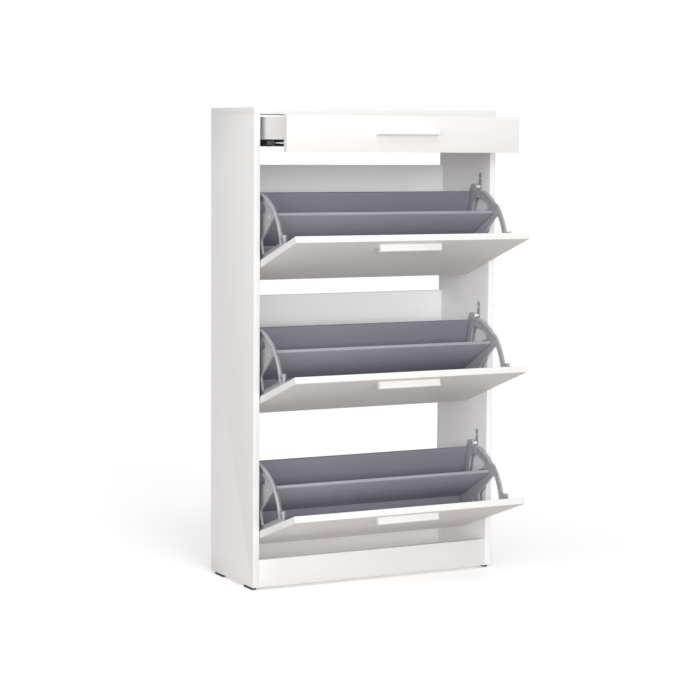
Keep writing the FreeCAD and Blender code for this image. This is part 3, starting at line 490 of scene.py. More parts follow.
# %% Places from the frame
def bin_place(level):
    """A bin's frame: its origin is the pivot, +Z runs up the shut flap and +Y points into the cabinet."""
    joint = next(j for j in frame["joints"] if j["name"] == f"tip_{level}")
    return Matrix.Translation(joint["pos_m"]) @ Matrix.Rotation(math.radians(joint["range_deg"][1]), 4, "X")


def corners(points):
    points = list(points)
    return (Vector([min(p[k] for p in points) for k in range(3)]),
            Vector([max(p[k] for p in points) for k in range(3)]))


def box_in(node, place):
    """A node's box in another frame, in metres."""
    back = place.inverted()
    return corners(back @ vertex.co for vertex in frame["nodes"][node].data.vertices)


def board_place(node):
    """A board's frame: X along it, Y across it, Z through its thickness."""
    mesh = frame["nodes"][node].data
    largest = max(mesh.polygons, key=lambda polygon: polygon.area)
    through = largest.normal.normalized()
    along = Vector((1, 0, 0)) if abs(through.x) < 0.5 else Vector((0, 0, 1))
    along = (along - through * along.dot(through)).normalized()
    return Matrix((along, through.cross(along), through)).transposed().to_4x4()


def islands(node):
    """The separate bodies of a node, each as a list of points."""
    bm = bmesh.new()
    bm.from_mesh(frame["nodes"][node].data)
    bmesh.ops.remove_doubles(bm, verts=bm.verts[:], dist=0.01 * MM)
    seen, groups = set(), []
    for start in bm.verts:
        if start in seen:
            continue
        group, todo = [], [start]
        seen.add(start)
        while todo:
            vertex = todo.pop()
            group.append(vertex.co.copy())
            for edge in vertex.link_edges:
                other = edge.other_vert(vertex)
                if other not in seen:
                    seen.add(other)
                    todo.append(other)
        groups.append(group)
    bm.free()
    return groups


def dressed(mesh, paints, sharp=32.0):
    """Gives a mesh its paints and smooth shading, with edges left sharp above an angle."""
    mesh.materials.clear()
    for paint in paints:
        mesh.materials.append(paint)
    mesh.polygons.foreach_set("use_smooth", [True] * len(mesh.polygons))
    mesh.set_sharp_from_angle(angle=math.radians(sharp))


def piece(name, mesh, paints, body, stands_for=(), place=None, sharp=32.0):
    """Puts a mesh in the scene as a named piece that rides on a body."""
    dressed(mesh, paints, sharp)
    obj = bpy.data.objects.new(name, mesh)
    bpy.context.scene.collection.objects.link(obj)
    if place is not None:
        obj.matrix_world = place
    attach(obj, body)
    if stands_for:
        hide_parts(*stands_for)
    return obj


print("upper pivot at", [round(v, 4) for v in bin_place("upper").translation])

# %% [markdown]
# ## Boards
#
# A plain box would do for a board, but a real one shows how it was made: 0.6 mm of banding on its edges,
# a hairline of glue round each face, and edges eased by a trimming cutter. The box is bevelled, and each
# broad face gets two inset rings, the first as wide as the banding and the second as narrow as the glue
# line, pressed slightly in. Where fittings enter, the board is drilled.

# %% A board with banded edges
BAND, GLUE, PRESS = 0.6, 0.16, 0.05


def banded_board(node, easing=0.5, band=BAND):
    """A board's mesh: slot 0 is foil, 1 banding and 2 the glue line; drilling adds slot 3."""
    place = board_place(node)
    low, high = box_in(node, place)
    bm = bmesh.new()
    bmesh.ops.create_cube(bm, size=1.0)
    size = high - low
    bmesh.ops.scale(bm, vec=size, verts=bm.verts[:])
    bmesh.ops.translate(bm, vec=(low + high) / 2, verts=bm.verts[:])
    bmesh.ops.bevel(bm, geom=bm.edges[:], offset=easing * MM, segments=3, profile=0.5, affect="EDGES")
    for face in bm.faces:
        face.material_index = 1
    half = size.x * size.y / 2
    broad = [face for face in bm.faces if abs(face.normal.z) > 0.999 and face.calc_area() > half]
    for face in broad:
        bmesh.ops.inset_region(bm, faces=[face], thickness=band * MM, depth=0.0)
        ring = bmesh.ops.inset_region(bm, faces=[face], thickness=GLUE * MM, depth=-PRESS * MM)
        for side in ring["faces"]:
            side.material_index = 2
        bmesh.ops.inset_region(bm, faces=[face], thickness=GLUE * MM, depth=PRESS * MM)
        face.material_index = 0
    bm.transform(place)
    return mesh_from(bm, node)


WHITE_PAINTS, PAINTED_LIGHT_PAINTS = ((face, banding, glue, chipboard) for face in (foil, painted_light_foil))
PLAIN_BOARDS = dict.fromkeys(("top_panel", "plinth", *(f"back_rail_{level}" for level in LEVELS)), "carcass")
PLAIN_BOARDS |= {"drawer_" + part: "drawer" for part in ("front", "side_left", "side_right", "back")}
PLAIN_BOARDS |= {f"flap_{level}_panel": f"flap_{level}" for level in LEVELS}
for node, body in PLAIN_BOARDS.items():
    # The back rails take the lighter copy of the foil, as painted light reaching the back of the cabinet.
    paints = PAINTED_LIGHT_PAINTS if "rail" in node else WHITE_PAINTS
    board = piece("board_" + node, banded_board(node), paints, body, (node,))
print(len(PLAIN_BOARDS), "plain boards; a flap has", len(board.data.polygons), "faces")


# %% The two sides, drilled for screw caps and cams
OPENING = 1.0


def seat_cutters(node, low_x, high_x, outwards, spare, deeper):
    """Cutters for the seats of a node's fittings that lie in a board; outwards is where they open."""
    cutters = []
    for points in islands(node):
        low, high = corners(points)
        middle = (low + high) / 2
        if low_x - MM <= middle.x <= high_x + MM:
            opens_up = (middle.x > 0) == outwards
            radius, length = (high.z - low.z) / 2 / MM + spare, (high.x - low.x) / MM + OPENING + deeper
            start = (low.x / MM - (deeper if opens_up else OPENING), middle.y / MM, middle.z / MM)
            cutters.append(turned(((0, radius), (length, radius)), start, (1, 0, 0), slot=3))
    return cutters


# The right side takes the lighter copy of the foil, as painted light on its inner face.
for side, paints in (("left", WHITE_PAINTS), ("right", PAINTED_LIGHT_PAINTS)):
    node = "side_" + side
    low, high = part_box(node)
    cutters = seat_cutters("screw_caps", low.x, high.x, True, 0.1, 0.6)
    cutters += seat_cutters("top_cams", low.x, high.x, False, 0.15, 0.1)
    mesh = carved(banded_board(node), cutters)
    piece("board_" + node, mesh, paints, "carcass", (node,))
    print(node, "drilled", len(cutters), "times")

# %% [markdown]
# The boards in the bins are thinner and grey, with a narrow grey banding. The rear boards' edges are coloured
# nearly black, so their top edges show as a thin dark line. The floor board of each bin has a paler, slightly
# purple face. The drawer's bottom is a sheet of hardboard, white on top.

# %% Bin boards and the drawer's bottom
THIN_EASING, THIN_BAND = 0.35, 0.4
for level in LEVELS:
    for kind, paint in (("rear_board", grey_foil), ("divider", divider_foil), ("floor_board", lavender_foil)):
        node = f"flap_{level}_{kind}"
        mesh = banded_board(node, THIN_EASING, THIN_BAND)
        # The rear boards' edges are coloured nearly black, which makes their top edges a thin dark line.
        edge = dark_banding if kind == "rear_board" else grey_banding
        piece("board_" + node, mesh, (paint, edge, edge, chipboard), f"flap_{level}", (node,))
mesh = banded_board("drawer_bottom", 0.2, 0.2)
piece("board_drawer_bottom", mesh, (foil, chipboard, chipboard, chipboard), "drawer",
      ("drawer_bottom",))
print("thin boards ready")

# %% [markdown]
# ## Side brackets of the bins
#
# Each bin hangs between two moulded brackets. One moulding has a thin web with two openings, a flange along
# its curved rim that the stop pin runs on, a hook that stops the bin when it is open, a tab that stops it
# when it is shut, a strip screwed to the flap, and a hub on the pivot. It is drawn once, upright about the
# pivot, one outline for each feature. Each feature gets its own small radii before they are put together,
# because every edge of a mould has them. The left one is its mirror image.

# %% The bracket's sizes, in millimetres about the pivot
panel_high = box_in("flap_upper_panel", bin_place("upper"))[1]
bracket_low, bracket_high = box_in("flap_upper_bracket_right", bin_place("upper"))
INNER_X, OUTER_X = bracket_low.x / MM, bracket_high.x / MM
FACE = panel_high.y / MM
FOOT, TAB_TOP = bracket_low.z / MM, bracket_high.z / MM
RIM, RIM_STEP, STEP_ANGLE, FLANGE = 141.0, 3.5, 30.0, 2.5
HOOK, HOOK_FRONT, HOOK_SWEEP = 153.0, 70.8, 6.5
TAB_BACK = -8.36
WEB, RECESS, RIM_WIDTH, COLLAR, COLLAR_WIDTH, BORDER = 3.0, 1.4, 9.0, 2.0, 6.0, 1.5
VALLEY, REAR_END = Vector((24.0, -44.0)), Vector((130.0, 28.0))
rear_way = (REAR_END - VALLEY).normalized()
BEHIND = Vector((rear_way.y, -rear_way.x))
MARGIN = 8.5
HUB, BORE, PILOT, RIB, STAGGER, EDGE = 13.0, 5.1, 1.9, 1.2, 0.03, 0.4
LONG_RIBS, SHORT_RIBS = (64, 56, 48, 36), (16, 6)
print("bracket: x", round(INNER_X, 2), "to", round(OUTER_X, 2), "z", round(FOOT, 1), "to", round(TAB_TOP, 1))


# %% The bracket's outlines
def web_outline():
    rear = REAR_END + BEHIND * MARGIN + rear_way * 2.0
    foot = VALLEY + BEHIND * MARGIN
    path = [(FACE, FOOT), (FACE, TAB_TOP), (TAB_BACK, TAB_TOP)]
    path += arc(RIM, math.degrees(math.asin(TAB_BACK / RIM)), STEP_ANGLE)
    path += arc(RIM - RIM_STEP, STEP_ANGLE + 1, HOOK_FRONT)
    path += arc(HOOK - 1, HOOK_FRONT, HOOK_FRONT + HOOK_SWEEP, 5)
    path += [tuple(rear), tuple(foot)]
    return eased(path, 2.2)


def rim_outline():
    low = RIM - RIM_STEP
    path = [(TAB_BACK - 2.5, RIM - 1.2)]
    path += arc(RIM, math.degrees(math.asin(TAB_BACK / RIM)), STEP_ANGLE)
    path += arc(low, STEP_ANGLE + 1, HOOK_FRONT + 1)
    path += arc(low - FLANGE, HOOK_FRONT + 1, STEP_ANGLE)
    path += arc(RIM - FLANGE, STEP_ANGLE - 1, -2)
    path += [(TAB_BACK - 2.5, RIM - FLANGE - 0.5)]
    return path


def hook_outline():
    low = RIM - RIM_STEP - FLANGE
    path = arc(low, HOOK_FRONT + HOOK_SWEEP, HOOK_FRONT, 4)
    path += arc(HOOK - 1, HOOK_FRONT, HOOK_FRONT + HOOK_SWEEP, 5)
    return eased(path, 2.6)


def rear_window():
    ahead = Vector((-rear_way.y, rear_way.x))
    arm = REAR_END + ahead * 16.5
    path = [tuple(arm - rear_way * 75), tuple(arm - rear_way * 17.5)]
    path += arc(119.5, 69, 42)
    path += [polar(108, 38), (70, 80)]
    return eased(path, 9.0, sharp=math.radians(16))


def front_window():
    path = [(FACE + 12, 38), (FACE + 12, 128)]
    path += arc(RIM - 10, -6, 18)
    path += [(42, 116), (15, 39)]
    return eased(path, 7.0, sharp=math.radians(16))


print("outlines:", len(web_outline()), len(rim_outline()), len(rear_window()), len(front_window()), "points")


# %% The moulding
def screw_places():
    """Where the web is screwed to the boards' ends."""
    into_boards = []
    back = bin_place("upper").inverted()
    for points in islands("flap_upper_screws"):
        low, high = corners([back @ p for p in points])
        middle, size = (low + high) / 2, high - low
        if middle.x > 0.2 and size.x > size.y:
            into_boards.append((middle.y / MM, middle.z / MM))
    return into_boards


def rib(angle, inner, outer):
    """A stiffening rib that runs out from the pivot."""
    way, across = Vector(polar(1.0, angle)), Vector(polar(1.0, angle + 90)) * RIB / 2
    path = [way * inner - across, way * outer - across, way * outer + across, way * inner + across]
    return [tuple(point) for point in path]


def bracket_mesh():
    """Features of the moulding; each starts a hair behind the one before, so no two faces coincide."""
    windows = (rear_window(), front_window())
    bore, border = ring_of_points(BORE, 40), grown(web_outline(), -BORDER)
    pilots = [ring_of_points(PILOT, 16, y, z) for y, z in screw_places()]
    strip = oblong(FACE, FOOT, FACE + WEB, TAB_TOP)
    tab = oblong(FACE, RIM - 4, TAB_BACK, TAB_TOP)
    pocket = eased(oblong(FACE + 5, RIM + 2, TAB_BACK - 4, TAB_TOP - 4), 2.0)
    whole = OUTER_X - INNER_X
    features = [
        (hook_outline(), RIM_WIDTH, ()), (rim_outline(), RIM_WIDTH, ()), (tab, RIM_WIDTH, (pocket,)),
        (strip, whole, ()), (ring_of_points(HUB, 56), whole, (bore,)),
        (web_outline(), WEB + 1, (border,))]
    features += [(grown(window, COLLAR), COLLAR_WIDTH, (window,)) for window in windows]
    features += [(rib(angle, 121.5, RIM - RIM_STEP - 1), COLLAR_WIDTH - 1, ()) for angle in LONG_RIBS]
    features += [(rib(angle, RIM - 9, RIM - 1), COLLAR_WIDTH - 1, ()) for angle in SHORT_RIBS]
    solids = [pushed(outline, INNER_X + order * STAGGER, INNER_X + width - order * STAGGER, holes=holes)
              for order, (outline, width, holes) in enumerate(features)]
    web = pushed(grown(web_outline(), -EDGE), INNER_X + RECESS, INNER_X + WEB,
                 holes=[grown(window, EDGE) for window in windows] + [bore] + pilots)
    return put_together([softened(solid, EDGE, segments=3) for solid in solids] + [web])


right_bracket = bracket_mesh()
left_bracket = right_bracket.copy()
left_bracket.transform(Matrix.Scale(-1, 4, (1, 0, 0)))
left_bracket.flip_normals()
for level in LEVELS:
    for side, mesh in (("left", left_bracket), ("right", right_bracket)):
        node = f"flap_{level}_bracket_{side}"
        piece("moulded_" + node, mesh.copy(), (bracket_plastic,), f"flap_{level}",
              (node,), bin_place(level), sharp=40.0)
print("a bracket has", len(right_bracket.polygons), "faces")

# %% [markdown]
# ## Handles
#
# The pull is a moulded shell: a top plate that the fingers hook over from below, a lip, a back plate and two
# end walls, with two bosses that the screws from inside bite into. The same moulding is used four times, so
# it is drawn once at the origin and placed at each of the frame's handles.


# %% One handle, four places
LIP, SHELL, BOSS, SCREW_PITCH = 10.5, 2.0, 3.8, 128.0


def handle_mesh(reach, high, long):
    """A pull whose back upper edge is the origin."""
    out = -reach
    front = [(out + 4, 0.0), (out + 2.1, -0.25), (out + 0.7, -1.2), (out, -3.0)]
    shell = [(0, 0)] + front + [(out, -LIP), (out + SHELL, -LIP), (out + SHELL, -SHELL - 1.2),
                                (out + SHELL + 1.2, -SHELL), (-SHELL, -SHELL), (-SHELL, -high), (0, -high)]
    end = [(0, 0)] + front + [(out, -LIP), (-SHELL - 1, -high), (0, -high)]
    half = long / 2
    body = pushed(shell, -half, half)
    parts = [pushed(end, -half, -half + SHELL), pushed(end, half - SHELL, half)]
    for x in (-SCREW_PITCH / 2, SCREW_PITCH / 2):
        parts.append(turned(((0, BOSS), (reach - 1, BOSS)), (x, out + 1, -high / 2), (0, 1, 0), 28))
    return softened(carved(body, parts, "UNION"), 0.4, segments=3)


first_low, first_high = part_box("drawer_handle")
handle = handle_mesh((first_high.y - first_low.y) / MM, (first_high.z - first_low.z) / MM,
                     (first_high.x - first_low.x) / MM)
piece("handle_drawer", handle.copy(), (handle_plastic,), "drawer", ("drawer_handle",),
      Matrix.Translation((0, first_high.y, first_high.z)))
for level in LEVELS:
    low, high = box_in(f"flap_{level}_handle", bin_place(level))
    place = bin_place(level) @ Matrix.Translation((0, high.y, high.z))
    piece(f"handle_flap_{level}", handle.copy(), (handle_plastic,), f"flap_{level}",
          (f"flap_{level}_handle",), place)
print("a handle has", len(handle.polygons), "faces")

# %% [markdown]
# ## Pivots and stops
#
# On each side, a bin has a pivot base with its pin and a stop strip with a white roller. The strip stands
# up beside the rim and is notched, which lets it flex a little when a bin drops on it. Both carry one or two
# screws, so their holes are cut through the plate.

# %% Pivot bases and stop strips
PLATE, SCREW_HOLE, NOTCH, NOTCHES = 2.0, 1.8, 4.6, 5
wall_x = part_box("side_right")[0].x / MM
stub_long, pin_long = wall_x - INNER_X - 2, wall_x - INNER_X - 1
strips, rollers, bases = [], [], []
for points in islands("stop_brackets"):
    low, high = corners(points)
    sign = 1 if low.x > 0 else -1
    front, rear, foot, head = low.y / MM, high.y / MM, low.z / MM, high.z / MM
    middle = (front + rear) / 2
    rises = [foot + 13 + notch * NOTCH for notch in range(NOTCHES)]
    path = [(middle - 5.5, foot), (middle + 5.5, foot), (middle + 5.5, foot + 11)]
    path += [point for rise in rises for point in ((middle + 3.4, rise), (middle + 4.6, rise + NOTCH / 2))]
    path += [(middle + 3.4, head), (middle - 3.4, head)]
    path += [point for rise in rises[::-1]
             for point in ((middle - 4.6, rise + NOTCH / 2), (middle - 3.4, rise))]
    path += [(middle - 5.5, foot + 11)]
    plate = sorted((sign * wall_x, sign * (wall_x - PLATE)))
    hole = ring_of_points(SCREW_HOLE, 16, middle, head - 14)
    strips.append(softened(pushed(eased(path, 0.9), *plate, holes=(hole,)), 0.3))
    start, inwards = (sign * wall_x, middle, foot + 5.0), (-sign, 0, 0)
    strips.append(turned(((0, 2.6), (stub_long, 2.6)), start, inwards))
    barrel = ((2.4, 3.4), (2.9, 3.95), (stub_long + 0.2, 3.95), (stub_long + 0.9, 3.4))
    rollers.append(turned(barrel, start, inwards, 32))
for points in islands("pivot_bases"):
    low, high = corners(points)
    sign = 1 if low.x > 0 else -1
    middle_y, middle_z = (low.y + high.y) / 2 / MM, (low.z + high.z) / 2 / MM
    rounded = eased(oblong(low.y / MM, low.z / MM, high.y / MM, high.z / MM), 7.0)
    holes = [ring_of_points(SCREW_HOLE, 16, middle_y, middle_z + up) for up in (-14.0, 14.0)]
    plate = sorted((sign * wall_x, sign * (wall_x - PLATE)))
    bases.append(softened(pushed(rounded, *plate, holes=holes), 0.3))
    start, inwards = (sign * wall_x, middle_y, middle_z), (-sign, 0, 0)
    bases.append(turned(((1.9, 7.0), (2.4, 7.0), (2.6, 6.4)), start, inwards, 32))
    bases.append(turned(((1.5, 5.0), (pin_long - 0.8, 5.0), (pin_long, 4.3)), start, inwards, 32))
for name, meshes, paint, node in (("stop_strips", strips, fitting_plastic, ("stop_brackets",)),
                                  ("stop_rollers", rollers, roller_plastic, ()),
                                  ("pivot_plates", bases, fitting_plastic, ("pivot_bases",))):
    piece(name, put_together(meshes), (paint,), "carcass", node)
print(len(rollers), "stops and", len(bases) // 3, "pivots")

# %% [markdown]
# ## Screws, caps, cams and glides
#
# A screw is turned: a domed head, a shank with the zigzag of a thread, and a point. The cross in its head is
# cut with two bars. One screw is made for each size and then set at each place. Its direction is read from
# the frame: a fastener is longest along its axis, and it is widest at its head.


# %% Screws
THREAD, CROSS = 1.2, 0.35


def screw_mesh(head, head_height, shank, length):
    """A screw along +Z with the underside of its head at the origin."""
    turns = int((length - 4) / THREAD)
    profile = [(-head_height, head * 0.5), (-head_height * 0.85, head * 0.78),
               (-head_height * 0.4, head * 0.97), (0.0, head), (0.05, shank * 0.78)]
    for i in range(turns):
        profile += [(1.0 + i * THREAD, shank * 0.74), (1.0 + (i + 0.5) * THREAD, shank)]
    profile += [(1.0 + turns * THREAD, shank * 0.74), (length, 0.15)]
    body = turned(profile, (0, 0, 0), (0, 0, 1), 20)
    bar = head * 0.6
    blades = [pushed(oblong(-bar, -CROSS, bar, CROSS), -head_height - 1, -head_height * 0.35,
                     way=Matrix.Rotation(angle, 4, "Z")) for angle in (0, math.pi / 2)]
    return carved(body, blades)


def fasteners(node, place):
    """Each fastener of a node: its radius and length in millimetres, and where its head is."""
    back = place.inverted()
    for points in islands(node):
        points = [back @ p for p in points]
        low, high = corners(points)
        size, centre = high - low, (low + high) / 2
        axis = max(range(3), key=lambda k: size[k])
        across = [k for k in range(3) if k != axis]
        radius = size[across[0]] / 2

        def spread(end):
            near = [p - centre for p in points if abs(p[axis] - end) < 0.4 * MM]
            return max(math.hypot(p[across[0]], p[across[1]]) for p in near)

        headed_low = spread(low[axis]) > spread(high[axis])
        top = low[axis] if headed_low else high[axis]
        way = Vector([(1 if headed_low else -1) if k == axis else 0 for k in range(3)])
        start = Vector(centre)
        start[axis] = top
        turn = Vector((0, 0, 1)).rotation_difference(way).to_matrix().to_4x4()
        yield radius / MM, size[axis] / MM, place @ Matrix.Translation(start) @ turn


screw_groups = [("fitting_screws", "carcass", Matrix()), ("drawer_screws", "drawer", Matrix())]
screw_groups += [(f"flap_{level}_screws", f"flap_{level}", bin_place(level)) for level in LEVELS]
screw_kinds = {}
for node, body, place in screw_groups:
    meshes, places = [], []
    for radius, length, where in fasteners(node, place):
        head_height = 1.5 if radius < 4 else 2.0
        kind = (round(radius, 1), round(length, 1))
        if kind not in screw_kinds:
            shank = min(radius * 0.58, 2.0)
            screw_kinds[kind] = screw_mesh(radius * 0.99, head_height, shank, length - head_height)
        meshes.append(screw_kinds[kind])
        places.append(where @ Matrix.Translation((0, 0, head_height * MM)))
    piece("screws_" + node, put_together(meshes, places), (screw_steel,), body, (node,))
print(len(screw_kinds), "kinds of screw:", sorted(screw_kinds))

# %% [markdown]
# The long screws through the sides are hidden by moulded caps, slightly domed and standing in a drilled
# seat. Inside, the top panel is held by cams: die-cast drums with a waist and a cross slot.
# The glides under the sides are hard plastic strips, rounded where they meet the floor.

# %% Caps, cams and glides
caps, cams, glides = [], [], []
for points in islands("screw_caps"):
    low, high = corners(points)
    centre, sign = (low + high) / 2 / MM, 1 if low.x > 0 else -1
    radius, thick = (high.z - low.z) / 2 / MM, (high.x - low.x) / MM
    inner = sign * min(abs(low.x), abs(high.x)) / MM
    dome = ((0, radius - 0.15), (thick * 0.55, radius - 0.05), (thick * 0.8, radius - 0.25),
            (thick * 0.95, radius * 0.6), (thick, radius * 0.15))
    caps.append(turned(dome, (inner, centre.y, centre.z), (sign, 0, 0), 36))
for points in islands("top_cams"):
    low, high = corners(points)
    centre, sign = (low + high) / 2 / MM, 1 if low.x > 0 else -1
    radius, face = (high.z - low.z) / 2 / MM, sign * min(abs(low.x), abs(high.x)) / MM
    drum = ((0.1, radius - 0.6), (0.5, radius - 0.1), (1.6, radius - 0.1), (2.0, radius - 1.2),
            (8.5, radius - 1.2), (9.0, radius - 0.1), (11.8, radius - 0.2))
    cam = turned(drum, (face, centre.y, centre.z), (sign, 0, 0), 40)
    bars = [oblong(centre.y - y, centre.z - z, centre.y + y, centre.z + z) for y, z in ((0.8, 4), (4, 0.8))]
    cams.append(carved(cam, [pushed(bar, *sorted((face - sign, face + sign * 2.5))) for bar in bars]))
for points in islands("foot_pads"):
    low, high = corners(points)
    outline = eased(oblong(low.x / MM, low.y / MM, high.x / MM, high.y / MM), 3.0)
    glides.append(softened(pushed(outline, low.z / MM, high.z / MM, way=Matrix()), 1.4, segments=4))
piece("screw_cap_domes", put_together(caps), (cap_plastic,), "carcass", ("screw_caps",))
piece("cam_drums", put_together(cams), (cast_zinc,), "carcass", ("top_cams",))
piece("glides", put_together(glides), (glide_plastic,), "carcass", ("foot_pads",))
print(len(caps), "caps,", len(cams), "cams,", len(glides), "glides")

# %% [markdown]
# ## Drawer slides
#
# A ball-bearing slide is three rolled strips. The cabinet and drawer members are channels whose lips turn
# round the balls, with oval slots so that a screw can be shifted. The middle member is a narrower double
# channel, and black plastic cages on it keep the balls apart. On the drawer member sits a small black
# release lever, forked towards the front, with a rivet behind it. All three are thin enough to pass under
# the middle member when the drawer shuts.


# %% Slide members
STRIP, LIP_CORNER, SLOT_LONG, SLOT_HIGH = 1.2, 1.9, 4.5, 2.1


def oval(y, z, half_long, half_high):
    """An oval about a place, long along Y."""
    straight = half_long - half_high
    angles = [2 * math.pi * (i + 0.5) / 24 for i in range(24)]
    return [(y + math.copysign(straight, math.cos(a)) + half_high * math.cos(a), z + half_high * math.sin(a))
            for a in angles]


def channel(node, web_x, shares):
    """A rolled channel whose web is at web_x, with a slot through the web at each share of its length."""
    low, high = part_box(node)
    tips = low.x if abs(low.x / MM - web_x) > 1 else high.x
    reach = tips / MM - web_x
    wall = math.copysign(STRIP, reach)
    foot, head = low.z / MM, high.z / MM
    path = [(web_x, foot), (web_x + reach, foot), (web_x + reach, foot + STRIP), (web_x + wall, foot + STRIP),
            (web_x + wall, head - STRIP), (web_x + reach, head - STRIP), (web_x + reach, head), (web_x, head)]
    body = pushed(eased(path, LIP_CORNER), low.y / MM, high.y / MM, way=ALONG_Y)
    middle = (foot + head) / 2
    through = sorted((web_x - wall, web_x + 2 * wall))
    places = [(low.y + (high.y - low.y) * share) / MM for share in shares]
    return carved(body, [pushed(oval(y, middle, SLOT_LONG, SLOT_HIGH), *through) for y in places])


LEVER_LONG, RIVET_AT, CAGE_START, CAGE_THICK = 66.0, 64.0, 24.0, 0.7
LEVER_FROM, LEVER_TO = 1.25, 2.15
for side, sign in (("left", -1), ("right", 1)):
    outer, inner, middle = (f"slide_{part}_{side}" for part in ("outer", "inner", "middle"))
    mesh = channel(outer, sign * wall_x, (0.25, 0.6))
    piece("rail_" + outer, mesh, (slide_steel,), "carcass", (outer,), sharp=40.0)

    low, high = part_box(inner)
    web_x = sign * min(abs(low.x), abs(high.x)) / MM
    mesh = channel(inner, web_x, (0.42, 0.7))
    piece("rail_" + inner, mesh, (slide_steel,), "drawer", (inner,), sharp=40.0)
    foot, head, front = low.z / MM + 1.25, high.z / MM - 1.25, low.y / MM + 2
    centre = (foot + head) / 2
    rear = front + LEVER_LONG
    bands = [[(front, edge), (rear, edge), (rear, centre + way * 3.0), (rear - 8, centre + way * 0.8),
              (front + 4, centre + way * 2.7), (front, centre + way * 3.0)]
             for edge, way in ((head, 1), (foot, -1))]
    plate = sorted((web_x + sign * LEVER_FROM, web_x + sign * LEVER_TO))
    lever = [softened(pushed(band, *plate), 0.25) for band in bands]
    piece("lever_" + side, put_together(lever), (slide_black,), "drawer")
    start, outwards = (web_x + sign * STRIP, front + RIVET_AT, centre), (sign, 0, 0)
    washer = turned(((0, 3.9), (0.6, 3.9), (0.8, 3.7)), start, outwards, 32)
    piece("washer_" + side, washer, (slide_black,), "drawer")
    rivet = turned(((0, 1.9), (0.9, 1.9), (1.05, 1.2)), start, outwards, 28)
    piece("rivet_" + side, rivet, (screw_steel,), "drawer")

    low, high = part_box(middle)
    near, far, foot, head = low.x / MM, high.x / MM, low.z / MM, high.z / MM
    core = (near + far) / 2
    lower, upper, left, right = foot + STRIP, head - STRIP, core - STRIP, core + STRIP
    path = [(near, foot), (far, foot), (far, lower), (right, lower), (right, upper), (far, upper),
            (far, head), (near, head), (near, upper), (left, upper), (left, lower), (near, lower)]
    mesh = pushed(eased(path, 0.8), low.y / MM, high.y / MM, way=ALONG_Y)
    piece("rail_" + middle, mesh, (dark_steel,), middle, (middle,), sharp=40.0)
    cages = []
    for x in (near, far):
        thick = sorted((x, x + math.copysign(CAGE_THICK, core - x)))
        front, back, start = low.y / MM + 0.5, high.y / MM, low.y / MM + CAGE_START
        edge = [(front, foot - 2.0), (back, foot - 2.0), (back, head + 2.0), (front, head + 2.0),
                (front, head - 0.9), (start, head - 0.9), (start, foot + 0.9), (front, foot + 0.9)]
        cages.append(softened(pushed(eased(edge, 1.5), *thick), 0.2))
    piece("cage_" + side, put_together(cages), (slide_black,), middle)
print("slides ready")

# %% [markdown]
# ## Hidden fasteners
#
# The dowels, the long screws and the cam bolts sit inside the boards. Nothing of them shows, so the
# engineering model's own shapes stay and only get their finish. The bearing balls are already exact spheres.

# %% Finishes for the frame's own shapes
KEPT = {"rail_dowels": dowel_wood, "top_dowels": dowel_wood, "carcass_screws": screw_steel,
        "top_cam_bolts": screw_steel, "slide_balls_left": ball_steel, "slide_balls_right": ball_steel}
for node, paint in KEPT.items():
    dressed(frame["nodes"][node].data, (paint,))
print(len(KEPT), "nodes keep their own shape")

# %% [markdown]
# ## Studio
#
# White furniture is shot in a white room: a pale floor that runs out of sight, a white backdrop, and wide
# soft lights from the front, the left and above. They lift the top edges and let the inside of the cabinet
# fall off gently. A warm glow from below stands for the light that the floor throws back.

# %% Floor
bm = bmesh.new()
bmesh.ops.create_grid(bm, x_segments=2, y_segments=2, size=40.0)
floor = bpy.data.objects.new("floor", mesh_from(bm, "floor"))
bpy.context.scene.collection.objects.link(floor)
floor.visible_diffuse = False
floor_paint = Paint("studio floor", Emission_Color=(1.0, 1.0, 1.0, 1.0), Emission_Strength=0.3)
floor_cloud = floor_paint.noise(0.8, detail=3.0)
floor.data.materials.append(floor_paint.finish(
    floor_paint.mixed(floor_cloud, (0.95, 0.95, 0.95), (0.97, 0.97, 0.97)), floor_cloud * 0.1 + 0.7))

# %% Light
world = bpy.data.worlds.new("studio")
bpy.context.scene.world = world
world.use_nodes = True


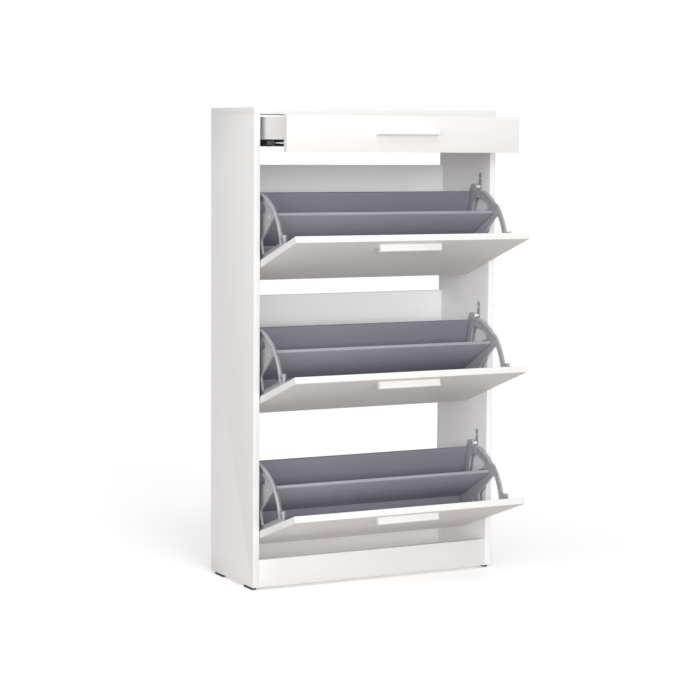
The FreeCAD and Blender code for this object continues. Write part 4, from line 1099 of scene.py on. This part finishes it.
UNDER, ROUND, BACKDROP = (0.475, 0.43, 0.415), (0.09, 0.09, 0.095), (1.05, 1.05, 1.05)
BACKDROP_WAY = (0.47, 0.88, 0.0)
room = Wiring(world.node_tree)
facing = room.node("TexCoord", out="Generated")
upness = room.node("SeparateXYZ", {}, {0: facing}, "Z")
above_floor = room.node("MapRange", {}, {"Value": upness, "From Min": -0.1, "From Max": 0.1})
around = room.mixed(above_floor, UNDER, ROUND)
towards = room.node("VectorMath", {"operation": "DOT_PRODUCT"}, {0: facing, 1: BACKDROP_WAY}, "Value")
behind = room.node("MapRange", {}, {"Value": towards, "From Min": 0.86, "From Max": 0.93})
room.feed(world.node_tree.nodes["Background"].inputs["Color"], room.mixed(behind, around, BACKDROP))


def wide_light(name, strength, azimuth, elevation, softness):
    """A far, soft source: azimuth 0 is in front and turns to the left, all angles in degrees."""
    data = bpy.data.lights.new(name, "SUN")
    data.energy, data.angle = strength, math.radians(softness)
    a, e = math.radians(azimuth), math.radians(elevation)
    travels = Vector((math.sin(a) * math.cos(e), math.cos(a) * math.cos(e), -math.sin(e)))
    light = bpy.data.objects.new(name, data)
    light.rotation_euler = travels.to_track_quat("-Z", "Y").to_euler()
    bpy.context.scene.collection.objects.link(light)


for light in (("front light", 1.50, 6, 7, 24), ("quarter light", 1.1, 42, 7, 40),
              ("high light", 0.75, 10, 48, 40), ("left light", 1.3, 80, 8, 50),
              ("overhead light", 1.0, 10, 82, 60)):
    wide_light(*light)
bpy.context.scene.view_settings.view_transform = "Standard"

# %% Camera
CAMERA_PLACE = Vector((-2.34607, -4.36055, 1.02253))
YAW, PITCH, ROLL = 0.483625, -0.098079, 0.006962
LENS, SENSOR = 109.907, 36.0
lens = bpy.data.cameras.new("camera")
lens.lens, lens.sensor_width = LENS, SENSOR
lens.dof.use_dof = False
camera = bpy.data.objects.new("camera", lens)
bpy.context.scene.collection.objects.link(camera)
turn = Matrix.Rotation(-YAW, 4, "Z") @ Matrix.Rotation(math.pi / 2 + PITCH, 4, "X")
camera.matrix_world = Matrix.Translation(CAMERA_PLACE) @ turn @ Matrix.Rotation(ROLL, 4, "Z")
bpy.context.scene.camera = camera
